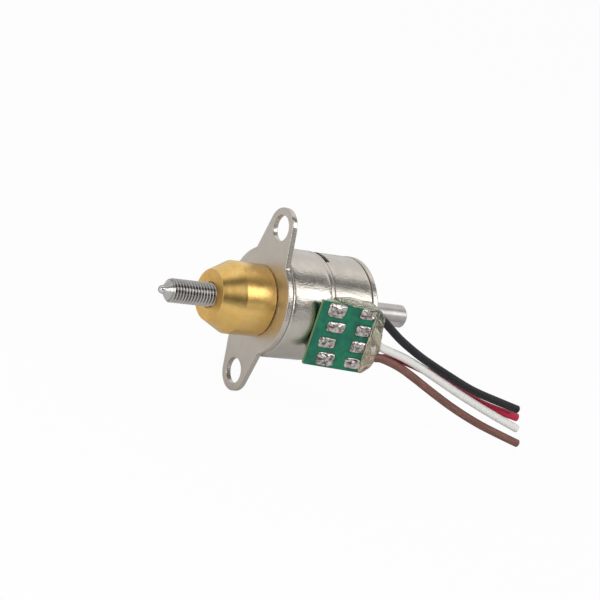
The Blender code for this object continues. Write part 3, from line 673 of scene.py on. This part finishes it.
def thread(crest, root, along, angle):
    """The radius of a right-hand V thread, with a blunt crest and root, in step with the CAD's."""
    turn = (along - CONE_BASE_Y) / PITCH - (angle - pi / 2) / (2 * pi)
    ridge = 1 - abs(2 * (turn % 1.0) - 1)
    blunt = min(1.0, max(0.0, (ridge - 0.06) / 0.86))
    return root + (crest - root) * blunt


def make_nut():
    """One turned profile whose bore follows the thread; its back is the front bush's seat."""
    low, high = span("brass_nut")
    face, back, nut_r = low.y, high.y, high.x
    mouth_y = face + NUT_MOUTH_DEPTH
    outside = [(BUSH_SEAT_R, back), (SPIGOT_R, back, 0.1), (SPIGOT_R, -0.03), (nut_r, -0.03, 0.25)]
    outside += [(nut_r, face + NUT_CONE_LENGTH, 0.07), (NUT_FACE_R, face, 0.07)]
    outside += [(NUT_MOUTH_R, face, 0.05), (TAP_CREST_R, mouth_y)]
    in_thread = 0.1  # a radius that stands for the thread's own
    bore = densify([(in_thread, mouth_y), (in_thread, BUSH_SEAT_Y)], PITCH / 12, closed=False)
    outside = densify(fillet(outside), 0.6, closed=False)
    profile = outside + bore[1:] + [(BUSH_SEAT_R, BUSH_SEAT_Y)]

    def threaded(radius, along, angle):
        return thread(TAP_CREST_R, TAP_ROOT_R, along, angle) if radius < SCREW_ROOT_R else radius

    stand_for("brass_nut", revolve(profile, shape=threaded))


def claw_ring(base_y, tip_y, first_angle):
    """Tapering claw poles round the rotor, as separate closed blocks with rounded edges."""
    claws = []
    for angle in circle(POLE_PAIRS):
        tooth = block((CLAW_IN, 0, -0.5), (CLAW_IN + CLAW_T, 1, 0.5))
        for vert in tooth.vertices:
            at_tip = vert.co.y > 0.5
            vert.co.z *= CLAW_TIP if at_tip else CLAW_BASE
            vert.co.y = tip_y if at_tip else base_y
        claws.append(placed(bevelled(tooth, 2), Matrix.Rotation(first_angle + angle, 4, "Y")))
    return joined(*claws)


def dented(radius, along, angle):
    """A drawn can is never quite round; its bore, which was cut, is."""
    place = on_axis(radius, along, angle) * 0.22
    return radius + CAN_DENT * wave(place, 3.0) if radius > 6.5 else radius


def side_window():
    """The opening in both cans for the terminal block."""
    low, high = span("terminal_block")
    gap = Vector((0, WINDOW_GAP, WINDOW_GAP))
    low, high = low - gap, high + gap
    return block((PLATE_BORE_R - 0.5, low.y, low.z), (high.x + 1, high.y, high.z))


def make_front_can():
    """A drawn cup with its claws bent in from its front, and a groove behind its rolled rim."""
    low, high = span("front_can")
    can_r, front, rim = high.x, low.y, high.y
    inside = can_r - CAN_WALL
    band = rim - LIP_BAND
    outer = [(can_r, rim, 0.2), (can_r, band + 0.12), (can_r - 0.08, band), (can_r, band - 0.12)]
    outer += [(can_r, front, CAN_CORNER), (PLATE_BORE_R, front, 0.08)]
    floor = front + CAN_WALL
    inner = [(PLATE_BORE_R, floor, 0.08), (inside, floor, 0.15), (inside, rim, 0.05)]
    shell = revolve(densify(fillet(outer + inner, pieces=7), 0.5), shape=dented)
    yoke_front = span("inner_yoke_front")[1].y
    claws = claw_ring(front + CAN_WALL / 2, yoke_front - YOKE_T - CLAW_TIP_GAP, 0)
    shell = combine(shell, claws, operation="UNION")
    stand_for("front_can", combine(shell, side_window()))


def lip_notch(depth):
    """The slot in the rear can's lip, on top, as a block that reaches down to a depth."""
    low, high = span("rear_can")
    bottom = (-NOTCH_HALF_WIDTH, low.y - 0.02, high.x - depth)
    return block(bottom, (NOTCH_HALF_WIDTH, low.y + NOTCH_LENGTH, high.x + 0.5), 0.2, 4)


def make_rear_can():
    """A plainer cup than the front can, with the notch in its lip."""
    low, high = span("rear_can")
    can_r, lip, rear = high.x, low.y, high.y
    inside = can_r - CAN_WALL + 0.04
    outer = [(PLATE_BORE_R, rear, 0.08), (can_r, rear, 0.32), (can_r, lip, 0.2)]
    floor = rear - CAN_WALL
    inner = [(inside, lip, 0.05), (inside, floor, 0.15), (PLATE_BORE_R, floor, 0.08)]
    shell = revolve(densify(fillet(outer + inner, pieces=6), 0.5), shape=dented)
    yoke_rear = span("inner_yoke_rear")[0].y
    claws = claw_ring(rear - CAN_WALL / 2, yoke_rear + YOKE_T + CLAW_TIP_GAP, pi / POLE_PAIRS / 2)
    shell = combine(shell, claws, operation="UNION")
    notch = placed(lip_notch(NOTCH_IN_CAN), Matrix.Translation((0, NOTCH_SHIFT, 0)))
    stand_for("rear_can", combine(shell, side_window(), notch))


def make_yoke(end):
    """A ring plate between the two phases, with claws that reach to the far end of its phase."""
    node = "inner_yoke_" + end
    low, high = span(node)
    step = pi / POLE_PAIRS
    if end == "front":
        plate_low, plate_high, tip_y, first_angle = high.y - YOKE_T, high.y, low.y, step
    else:
        plate_low, plate_high, tip_y, first_angle = low.y, low.y + YOKE_T, high.y, step * 1.5
    profile = [(PLATE_BORE_R, plate_high, 0.05), (high.x, plate_high, 0.05)]
    profile += [(high.x, plate_low, 0.05), (PLATE_BORE_R, plate_low, 0.05)]
    claws = claw_ring((plate_low + plate_high) / 2, tip_y, first_angle)
    ring = combine(revolve(fillet(profile), steps=96), claws, operation="UNION")
    stand_for(node, combine(ring, lip_notch(NOTCH_IN_YOKE)))


def make_rear_cover():
    """The end plate behind the rear can."""
    low, high = span("rear_cover")
    profile = [(COVER_BORE_R, high.y, 0.06), (high.x, high.y, 0.24)]
    profile += [(high.x, low.y, 0.05), (COVER_BORE_R, low.y, 0.05)]
    stand_for("rear_cover", revolve(densify(fillet(profile), 0.6)))


# ---- windings, bearings and rotor ----
def make_winding(end):
    """One phase: a bobbin, and a coil whose outside shows its turns of wire."""
    low, high = span("bobbin_" + end)
    cheek_low, cheek_high = low.y + BOBBIN_CHEEK, high.y - BOBBIN_CHEEK
    out = high.x
    profile = [(out, high.y, 0.1), (out, cheek_high, 0.1), (BOBBIN_TUBE_R, cheek_high)]
    profile += [(BOBBIN_TUBE_R, cheek_low), (out, cheek_low, 0.1), (out, low.y, 0.1)]
    profile += [(BOBBIN_BORE_R, low.y, 0.05), (BOBBIN_BORE_R, high.y, 0.05)]
    stand_for("bobbin_" + end, revolve(fillet(profile, pieces=3), steps=96))
    low, high = span("coil_" + end)
    turns = int((high.y - low.y) / COIL_WIRE)
    step = (high.y - low.y) / turns
    wound = []
    for turn in range(turns):
        middle = high.y - step * (turn + 0.5)
        for point in range(5):
            angle = pi * (point + 0.5) / 5
            wound.append((high.x - step / 2 + step / 2 * sin(angle), middle + step / 2 * cos(angle)))
    profile = [(BOBBIN_TUBE_R + 0.03, high.y), *wound, (BOBBIN_TUBE_R + 0.03, low.y)]
    stand_for("coil_" + end, revolve(profile, steps=96), sharp=80)


def make_ring(node, bore, edge):
    """A plain ring with rounded edges."""
    low, high = span(node)
    corners = [(high.x, high.y), (high.x, low.y), (bore, low.y), (bore, high.y)]
    stand_for(node, revolve(fillet([(*corner, edge) for corner in corners]), steps=96))


def make_bearings():
    """The rotor's two bushes, its thrust washers and the spring that takes up its end play."""
    bore = JOURNAL_R + BUSH_GAP
    make_ring("front_bush", bore, 0.08)
    low, high = span("rear_bush")
    collar = span("rear_cover")[0].y - 0.03
    profile = [(BUSH_NECK_R, high.y, 0.12), (BUSH_NECK_R, collar), (high.x, collar, 0.06)]
    profile += [(high.x, low.y, 0.1), (bore, low.y, 0.1), (bore, high.y, 0.12)]
    stand_for("rear_bush", revolve(fillet(profile)))
    washer_bore = JOURNAL_R + WASHER_GAP
    for node in ("front_thrust_washer", "rear_thrust_washer"):
        make_ring(node, washer_bore, 0.03)
    low, high = span("wave_spring")
    middle = (low.y + high.y) / 2
    front, back = middle - SPRING_HALF_T, middle + SPRING_HALF_T
    corners = [(high.x, back, 0.02), (high.x, front, 0.02), (washer_bore, front, 0.02),
               (washer_bore, back, 0.02)]
    spring = revolve(fillet(corners, pieces=2), steps=96)
    for vert in spring.vertices:
        vert.co.y += SPRING_WAVE * cos(3 * atan2(vert.co.z, vert.co.x))
    stand_for("wave_spring", spring)


def flat_side(radius, angle, reach):
    """The radius of a round shape cut by a flat at a reach from the axis."""
    lean = cos(angle - FLAT_ANGLE)
    return min(radius, reach / lean) if lean > 0.2 else radius


def make_rotor():
    """The hub, whose bore has a flat behind DRIVE_Y to turn the screw, and the magnet on it."""
    low, high = span("rotor_hub")
    front, rear = low.y, high.y
    shaft_r = span("lead_screw")[1].x
    front_step, rear_step = SHOULDERS_Y
    outside = [(JOURNAL_R, rear, 0.12), (JOURNAL_R, rear_step), (HUB_R, rear_step, 0.05)]
    outside += [(HUB_R, front_step, 0.05), (JOURNAL_R, front_step), (JOURNAL_R, front, 0.12)]
    drive_r = shaft_r + SLIDE_GAP
    bore = [(RELIEF_R, front, 0.05), (RELIEF_R, DRIVE_Y), (drive_r, DRIVE_Y), (drive_r, rear)]

    def driven(radius, along, angle):
        in_bore = radius < RELIEF_R - 0.01
        return flat_side(radius, angle, shaft_r - FLAT_DEPTH + SLIDE_GAP) if in_bore else radius

    stand_for("rotor_hub", revolve(fillet(outside + bore), shape=driven))
    make_ring("rotor_magnet", HUB_R + SLIDE_GAP, 0.2)


# ---- the lead screw ----
def make_lead_screw():
    """Cone tip, thread, and a shaft with a flat along it, from one turned profile."""
    shaft_r, end, _ = span("lead_screw")[1]
    base = CONE_BASE_Y
    tip = base - CONE_LENGTH
    start = base - PITCH * 0.4
    threaded = densify([(1, start), (1, THREAD_END_Y)], PITCH / 14, closed=False)
    shaft = [(shaft_r, THREAD_END_Y + 0.12), (shaft_r, end - SHAFT_CHAMFER, 0.06)]
    shaft += [(shaft_r - SHAFT_CHAMFER, end, 0.05), (0, end)]
    shaft = densify(fillet(shaft), 1.2, closed=False)
    nose = [(0, tip), (CONE_TIP_R - 0.03, tip), (CONE_TIP_R, tip + 0.03)]
    cone = densify([(CONE_TIP_R, tip + 0.03), (SCREW_ROOT_R, base)], 0.1, closed=False)

    def cone_r(along):
        return CONE_TIP_R + (along - tip) * (SCREW_ROOT_R - CONE_TIP_R) / CONE_LENGTH

    def shaped(radius, along, angle):
        if along < start or along > end - SHAFT_CHAMFER * 1.2:
            return radius
        if along > THREAD_END_Y + 0.05:
            return flat_side(radius, angle, shaft_r - FLAT_DEPTH)
        run_in = cone_r(along) + 0.06 * max(0.0, along - base)
        run_out = SCREW_ROOT_R + (THREAD_END_Y - along) * 1.2
        return min(run_in, run_out, thread(SCREW_CREST_R, SCREW_ROOT_R, along, angle))

    nose_end = [point for point in nose + cone[1:] if point[1] < start - 0.01]
    stand_for("lead_screw", revolve(nose_end + threaded + shaft, closed=False, steps=96, shape=shaped))


def make_tip_ball():
    """A ball pressed into the screw's tip."""
    low, high = span("tip_ball")
    radius = (high.y - low.y) / 2
    middle = (high.y + low.y) / 2
    profile = [(radius * sin(pi * i / 40), middle - radius * cos(pi * i / 40)) for i in range(41)]
    stand_for("tip_ball", revolve(profile, closed=False, steps=64))


# ---- board, terminals, solder ----
def board_frame():
    """The board's own frame: x out of its outer face, y along the motor, from its CAD solid."""
    board = frame["nodes"]["circuit_board"].data
    outer = max((face for face in board.polygons if face.normal.x > 0.9), key=lambda face: face.area)
    out = outer.normal.normalized()
    along = Vector((0, 0, 1)).cross(out).normalized()
    up = out.cross(along)
    turn = Matrix((out, along, up)).transposed()
    places = [turn.transposed() @ (vert.co / MM - AXIS) for vert in board.vertices]
    low = Vector([min(values) for values in zip(*places)])
    high = Vector([max(values) for values in zip(*places)])
    middle = turn @ Vector((high.x, (low.y + high.y) / 2, (low.z + high.z) / 2))
    return Matrix.LocRotScale(middle, turn.to_quaternion(), None), high - low


BOARD, BOARD_SIZE = board_frame()


def on_board(node):
    """The middle of a CAD node that stands on the board, as (y, z) in the board's frame."""
    low, high = span(node)
    place = BOARD.inverted() @ ((low + high) / 2)
    return place.y, place.z


def post(radius, low, high, place, steps=20):
    """A small cylinder square to the board."""
    bm = bmesh.new()
    depth = high - low
    bmesh.ops.create_cone(bm, cap_ends=True, segments=steps, radius1=radius, radius2=radius, depth=depth)
    mesh = mesh_of(bm)
    mesh.transform(Matrix.Translation(((low + high) / 2, *place)) @ Matrix.Rotation(pi / 2, 4, "Y"))
    return mesh


JOINTS = [f"solder_joint_{number}" for number in range(1, 9)]
PINS = JOINTS[:4]


def make_board():
    """The board with a hole at every solder joint."""
    thick, wide, tall = BOARD_SIZE
    sheet = block((-thick, -wide / 2, -tall / 2), (0, wide / 2, tall / 2), 0.05)
    holes = [post(PIN_R + SLIDE_GAP, -thick - 1, 1, on_board(node)) for node in JOINTS]
    sheet = combine(sheet, joined(*holes))
    keep_places(sheet, [vert.co for vert in sheet.vertices])
    stand_for("circuit_board", placed(sheet, BOARD))


def cylinder(radius, low_y, high_y, steps=ROUND):
    """A solid cylinder on the motor's axis, for Booleans."""
    return revolve([(0, high_y), (radius, high_y), (radius, low_y), (0, low_y)], closed=False, steps=steps)


def make_terminals():
    """The block between the bobbins and the board, and the pins it carries."""
    low, high = span("terminal_block")
    body = block(low, high, 0.12, 3)
    hollow = cylinder(BLOCK_IN_R, low.y - 1, high.y + 1)
    holes = [post(PIN_R + SLIDE_GAP, PIN_LOW, 0, on_board(node)) for node in PINS]
    stand_for("terminal_block", combine(body, hollow, placed(joined(*holes), BOARD)))
    for number, node in enumerate(PINS, 1):
        pin = bevelled(post(PIN_R, PIN_LOW, PIN_HIGH, on_board(node), 24), 3)
        stand_for(f"terminal_pin_{number}", placed(pin, BOARD))


# each joint's half length and half height, its peak, and how far it leans along the board
JOINT_SHAPES = [(1.36, 0.98, 0.52, 0.1), (1.38, 0.78, 0.44, -0.1), (1.24, 0.78, 0.42, 0.0),
                (1.34, 1.00, 0.54, 0.1), (1.24, 0.76, 0.44, 0.1), (1.20, 0.80, 0.46, -0.1),
                (1.12, 0.84, 0.46, 0.0), (1.22, 0.78, 0.44, 0.1)]


def make_solder():
    """Frozen pools of solder: squarish on their pads, humped over the pin, wrinkled on top."""
    rings, sides = 22, 72
    for number, (half_y, half_z, peak, lean) in enumerate(JOINT_SHAPES, 1):
        node = JOINTS[number - 1]
        y0, z0 = on_board(node)
        bm = bmesh.new()
        layers = [[bm.verts.new((peak, y0, z0))]]
        for ring in range(1, rings + 1):
            share = ring / rings
            layer = []
            for angle in circle(sides):
                c, s = cos(angle), sin(angle)
                square = (abs(c) ** 6 + abs(s) ** 6) ** (-1 / 6)
                reach = share * square * (1 + 0.07 * wave((c * 1.6, s * 1.6, number * 3.1)))
                y = half_y * c * reach
                z = half_z * s * reach
                hump = (1 - share**2.6) ** 0.62
                crease = 1 - abs(wave((y * 1.0, z * 1.5, number * 5.3))) * 3.2
                ripple = 0.42 * crease + 0.24 * wave((y * 1.9, z * 2.2, number * 7.7)) + lean * y
                height = 0.03 + peak * hump * (0.72 + ripple * share * (1.4 - share))
                layer.append(bm.verts.new((max(0.02, height), y0 + y, z0 + z)))
            layers.append(layer)
        bottom = [bm.verts.new((0.012, vert.co.y, vert.co.z)) for vert in layers[-1]]
        for one, other in zip(layers, layers[1:] + [bottom]):
            bridge(bm, one, other)
        bm.faces.new(bottom)
        stand_for(node, placed(mesh_of(bm), BOARD), sharp=60)


# ---- wires ----
WIRES = ("black", "white", "red", "brown")


def centre_line(node):
    """The middles of a CAD cable's rings of points, from its far end to its near end."""
    bm = bmesh.new()
    bm.from_mesh(frame["nodes"][node].data)
    bmesh.ops.remove_doubles(bm, verts=bm.verts, dist=1e-6)
    bm.verts.index_update()
    far = max(bm.verts, key=lambda vert: vert.co.y)
    ring = {vert for vert in bm.verts if (vert.co - far.co).length < 2.3 * CORE_R * MM}
    seen = set(ring)
    line = []
    while ring:
        in_order = sorted(ring, key=lambda vert: vert.index)
        middle = sum((vert.co for vert in in_order), Vector()) / len(ring)
        line.append(middle / MM - AXIS)
        ring = {edge.other_vert(vert) for vert in ring for edge in vert.link_edges} - seen
        seen |= ring
    bm.free()
    return line


def wire_path(colour):
    """The line of one wire's sleeve, from its cut end to the board."""
    start = span(f"wire_{colour}_insulation")[0].y
    return smooth_run([point for point in centre_line(f"wire_{colour}_core") if point.y > start], 6)


def straight_places(path):
    """The places of a sleeve's points, outer and bore rings in turn, if its wire were straight."""
    return [(WIRE_R * cos(angle), travelled, WIRE_R * sin(angle))
            for _, travelled, _, _ in stations(path) for angle in circle(SLEEVE_SIDES, 2)]


def make_wire(colour):
    """A sleeve round a bundle of twisted strands."""
    path = wire_path(colour)
    seed = path[0].z

    def uneven(index, angle):
        return 1 + 0.018 * wave((index * 0.13, cos(angle) * 0.8, sin(angle) * 0.8), seed)

    sleeve = sweep(path, WIRE_R, SLEEVE_SIDES, WIRE_BORE_R, uneven)
    keep_places(sleeve, straight_places(path))
    stand_for(f"wire_{colour}_insulation", sleeve)
    line = smooth_run(centre_line(f"wire_{colour}_core"), 5)
    strand_r = CORE_R / 2.9
    strands = [sweep(line, strand_r, 8)]
    for start in circle(STRANDS - 1):
        run = []
        for point, travelled, normal, across in stations(line):
            angle = travelled * (2 * pi / STRAND_LAY) + start
            run.append(point + (normal * cos(angle) + across * sin(angle)) * strand_r * 1.95)
        strands.append(sweep(run, strand_r, 8))
    stand_for(f"wire_{colour}_core", joined(*strands))


# ---- glue ----
# points of the glue's outline, in the board's frame
GLUE_OUTLINE = [
    # its rim on the can
    (-2.5, -1.9, 4.75), (-2.6, 1.5, 5.0), (-2.7, 4.0, 4.8), (-2.8, 5.0, 2.0), (-2.8, 5.0, -2.5),
    (-2.4, 4.4, -4.6), (-3.3, 3.6, 0.0),
    # its rim over the board
    (0.10, -1.9, 4.72), (0.16, 1.5, 4.82), (0.22, 4.0, 4.80), (0.34, 4.3, 4.0), (0.36, 4.5, 1.0),
    (0.36, 4.5, -2.5), (0.20, 4.2, -4.75),
    # its crown behind the board
    (-0.4, 5.0, 4.4), (-0.5, 5.8, 3.2), (-0.5, 6.2, 0.8), (-0.5, 6.5, -1.4), (-0.5, 6.2, -3.4),
    (-0.7, 5.1, -4.9), (-2.0, 5.8, 3.2), (-2.0, 6.3, 0.0), (-2.0, 6.0, -3.0)]


def make_glue():
    """A wrinkled blob of glue between can and board, cut clear of them and of the wires."""
    bm = bmesh.new()
    for point in GLUE_OUTLINE:
        bm.verts.new(point)
    hull = bmesh.ops.convex_hull(bm, input=bm.verts)
    spare = set(hull["geom_interior"] + hull["geom_unused"])
    bmesh.ops.delete(bm, geom=[vert for vert in bm.verts if vert in spare])
    bead = remeshed(mesh_of(bm), 0.2, 8)
    for vert in bead.vertices:
        swell = 0.05 + 0.24 * wave(vert.co * 0.55, 9.0) + 0.10 * wave(vert.co * 1.3, 4.0)
        vert.co += vert.normal * swell
    bead = remeshed(bead, 0.12, 6)
    thick, wide, tall = BOARD_SIZE
    gap, lap = GLUE_GAP, GLUE_LAP
    sheet = block((-thick - gap, -wide, -tall / 2 - gap), (gap, wide / 2 + gap, tall / 2 + gap))
    # the glue stays near the board's rear and top edges
    keep_out = block((-6, -wide, -tall), (3, wide / 2 - lap, tall / 2 - 0.02))
    can = cylinder(span("front_can")[1].x + 0.045, -1, 20, 96)
    sleeves = [sweep(wire_path(colour)[-60:], WIRE_R + 0.05, 16) for colour in WIRES]
    bead = placed(combine(bead, keep_out, sheet), BOARD)
    stand_for("glue_bead", combine(bead, can, *sleeves))


make_flange()
make_nut()
make_front_can()
make_rear_can()
make_rear_cover()
for half in ("front", "rear"):
    make_yoke(half)
    make_winding(half)
make_bearings()
make_rotor()
make_lead_screw()
make_tip_ball()
make_board()
make_terminals()
make_solder()
for wire in WIRES:
    make_wire(wire)
make_glue()


# ---- floor, light and camera ----
FLOOR_HALF = 3.0  # in metres, like the camera's place


def make_floor():
    """A pale floor under the object; it looks plain white to the camera, and its colour holds painted
    shade that shows in reflections.
    """
    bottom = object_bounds()[0].z
    mesh = bpy.data.meshes.new("floor")
    corners = [(x * FLOOR_HALF, y * FLOOR_HALF, bottom) for x, y in ((-1, -1), (1, -1), (1, 1), (-1, 1))]
    mesh.from_pydata(corners, [], [(0, 1, 2, 3)])
    s = Shader("floor")
    across, along, _ = s.split(s.mm)
    # painted shade, seen only in reflections: the floor is darker towards +Y, behind the motor
    depth = s.math("ADD", s.remap(along, -60, 60, -0.1, 1.1), s.noise(0.02, 3, 0.5))
    pale = s.blend(s.remap(depth, 0.4, 1.6), (0.80, 0.80, 0.80), (0.70, 0.70, 0.70))
    # painted shade: the floor darkens far out along +X
    away = s.remap(across, 50, 160, 0.0, 0.6)
    s.set(Base_Color=s.blend(away, pale, (0.1, 0.1, 0.1)), Roughness=0.9)
    seen = s.times(s.add("LightPath").outputs["Is Camera Ray"], 0.95)
    white = s.add("Emission").outputs[0]
    mix = s.add("MixShader", {0: seen, 1: s.surface.outputs[0], 2: white}).outputs[0]
    s.feed(s.tree.nodes["Material Output"].inputs["Surface"], mix)
    mesh.materials.append(s.material)
    new_object("floor", mesh)


def soft_light(name, angle, along, width, length, distance, strength, mirrored=True):
    """A soft box of a size in mm that faces the object, at an angle in degrees from +X towards +Z."""
    light = bpy.data.lights.new(name, "AREA")
    light.shape = "RECTANGLE"
    light.size = width * MM
    light.size_y = length * MM
    light.energy = strength * pi * light.size * light.size_y
    obj = new_object(name, light)
    out = Vector((cos(radians(angle)), along, sin(radians(angle)))).normalized()
    obj.location = (AXIS + Vector((0, 5, 0)) + out * distance) * MM
    across = Vector((0, 1, 0)).cross(out).normalized()
    turn = Matrix((across, out.cross(across), out)).transposed()
    obj.rotation_euler = turn.to_euler()
    obj.visible_camera = False
    obj.visible_glossy = mirrored


# the studio's brightness by the angle round the motor's axis, from +X towards +Z, in degrees
STUDIO_BANDS = [(-180, 0.85), (-150, 0.65), (-110, 0.5), (-70, 0.65), (-30, 0.85), (5, 0.85),
                (13, 0.25), (20, 0.25), (28, 0.7), (60, 0.7), (67, 0.26), (84, 0.22),
                (97, 1.15), (115, 1.0), (140, 0.85)]
# the middle of a dark patch towards the camera, the cosines of its edge and core, and its level
STUDIO_DARK = (Vector((0.95, -0.29, 0.04)), 0.80, 0.93, 0.4)


def make_world():
    """A grey studio with soft bands, dark round the camera; the camera sees it as plain white."""
    world = bpy.data.worlds.new("studio")
    bpy.context.scene.world = world
    w = Nodes(world)
    out = w.add("TexCoord").outputs["Generated"]
    x, y, z = w.split(out)
    angle = w.math("ARCTAN2", z, x)
    bands = w.add("ValToRGB", {0: w.remap(angle, -pi, pi)})
    ramp = bands.color_ramp
    ramp.interpolation = "EASE"
    while len(ramp.elements) < len(STUDIO_BANDS):
        ramp.elements.new(0.5)
    for element, (degrees, level) in zip(ramp.elements, STUDIO_BANDS):
        element.position = degrees / 360 + 0.5
        element.color = (level, level, level * 0.985, 1.0)
    centre, edge, core, level = STUDIO_DARK
    near = w.vector_math("DOT_PRODUCT", out, centre.normalized())["Value"]
    dark = w.remap(near, edge, core, 1.0, level, interpolation_type="SMOOTHSTEP")
    front = w.remap(y, -0.6, 0.3, 0.75, 1.0)
    shade = w.scaled(bands.outputs["Color"], w.times(dark, front))
    seen = w.add("LightPath").outputs["Is Camera Ray"]
    sky = w.blend(seen, shade, (1.0, 1.0, 1.0))
    w.feed(w.tree.nodes["Background"].inputs["Color"], sky)


CAMERA_PLACE = Vector((160.73, -117.16, 53.92)) * MM
AZIMUTH, ELEVATION, ROLL = radians(52.33), radians(16.46), radians(18.97)
LENS = 93.1


def make_camera():
    """The photo's point of view."""
    camera = bpy.data.cameras.new("camera")
    camera.lens = LENS
    camera.clip_start, camera.clip_end = 0.005, 10.0
    obj = new_object("camera", camera)
    back = Vector((sin(AZIMUTH) * cos(ELEVATION), -cos(AZIMUTH) * cos(ELEVATION), sin(ELEVATION)))
    level = Vector((cos(AZIMUTH), sin(AZIMUTH), 0))
    upright = back.cross(level)
    right = level * cos(ROLL) + upright * sin(ROLL)
    up = back.cross(right)
    turn = Matrix((right, up, back)).transposed()
    obj.matrix_world = Matrix.LocRotScale(CAMERA_PLACE, turn.to_quaternion(), None)
    bpy.context.scene.camera = obj


make_floor()
soft_light("key_light", 45, 0.5, 118, 400, 300, 1.6)
soft_light("front_light", 33, -1.74, 130, 130, 300, 2.4)
soft_light("wash_light", 50, -0.5, 250, 250, 320, 1.3, mirrored=False)
make_world()
make_camera()
bpy.context.scene.view_settings.view_transform = "Standard"
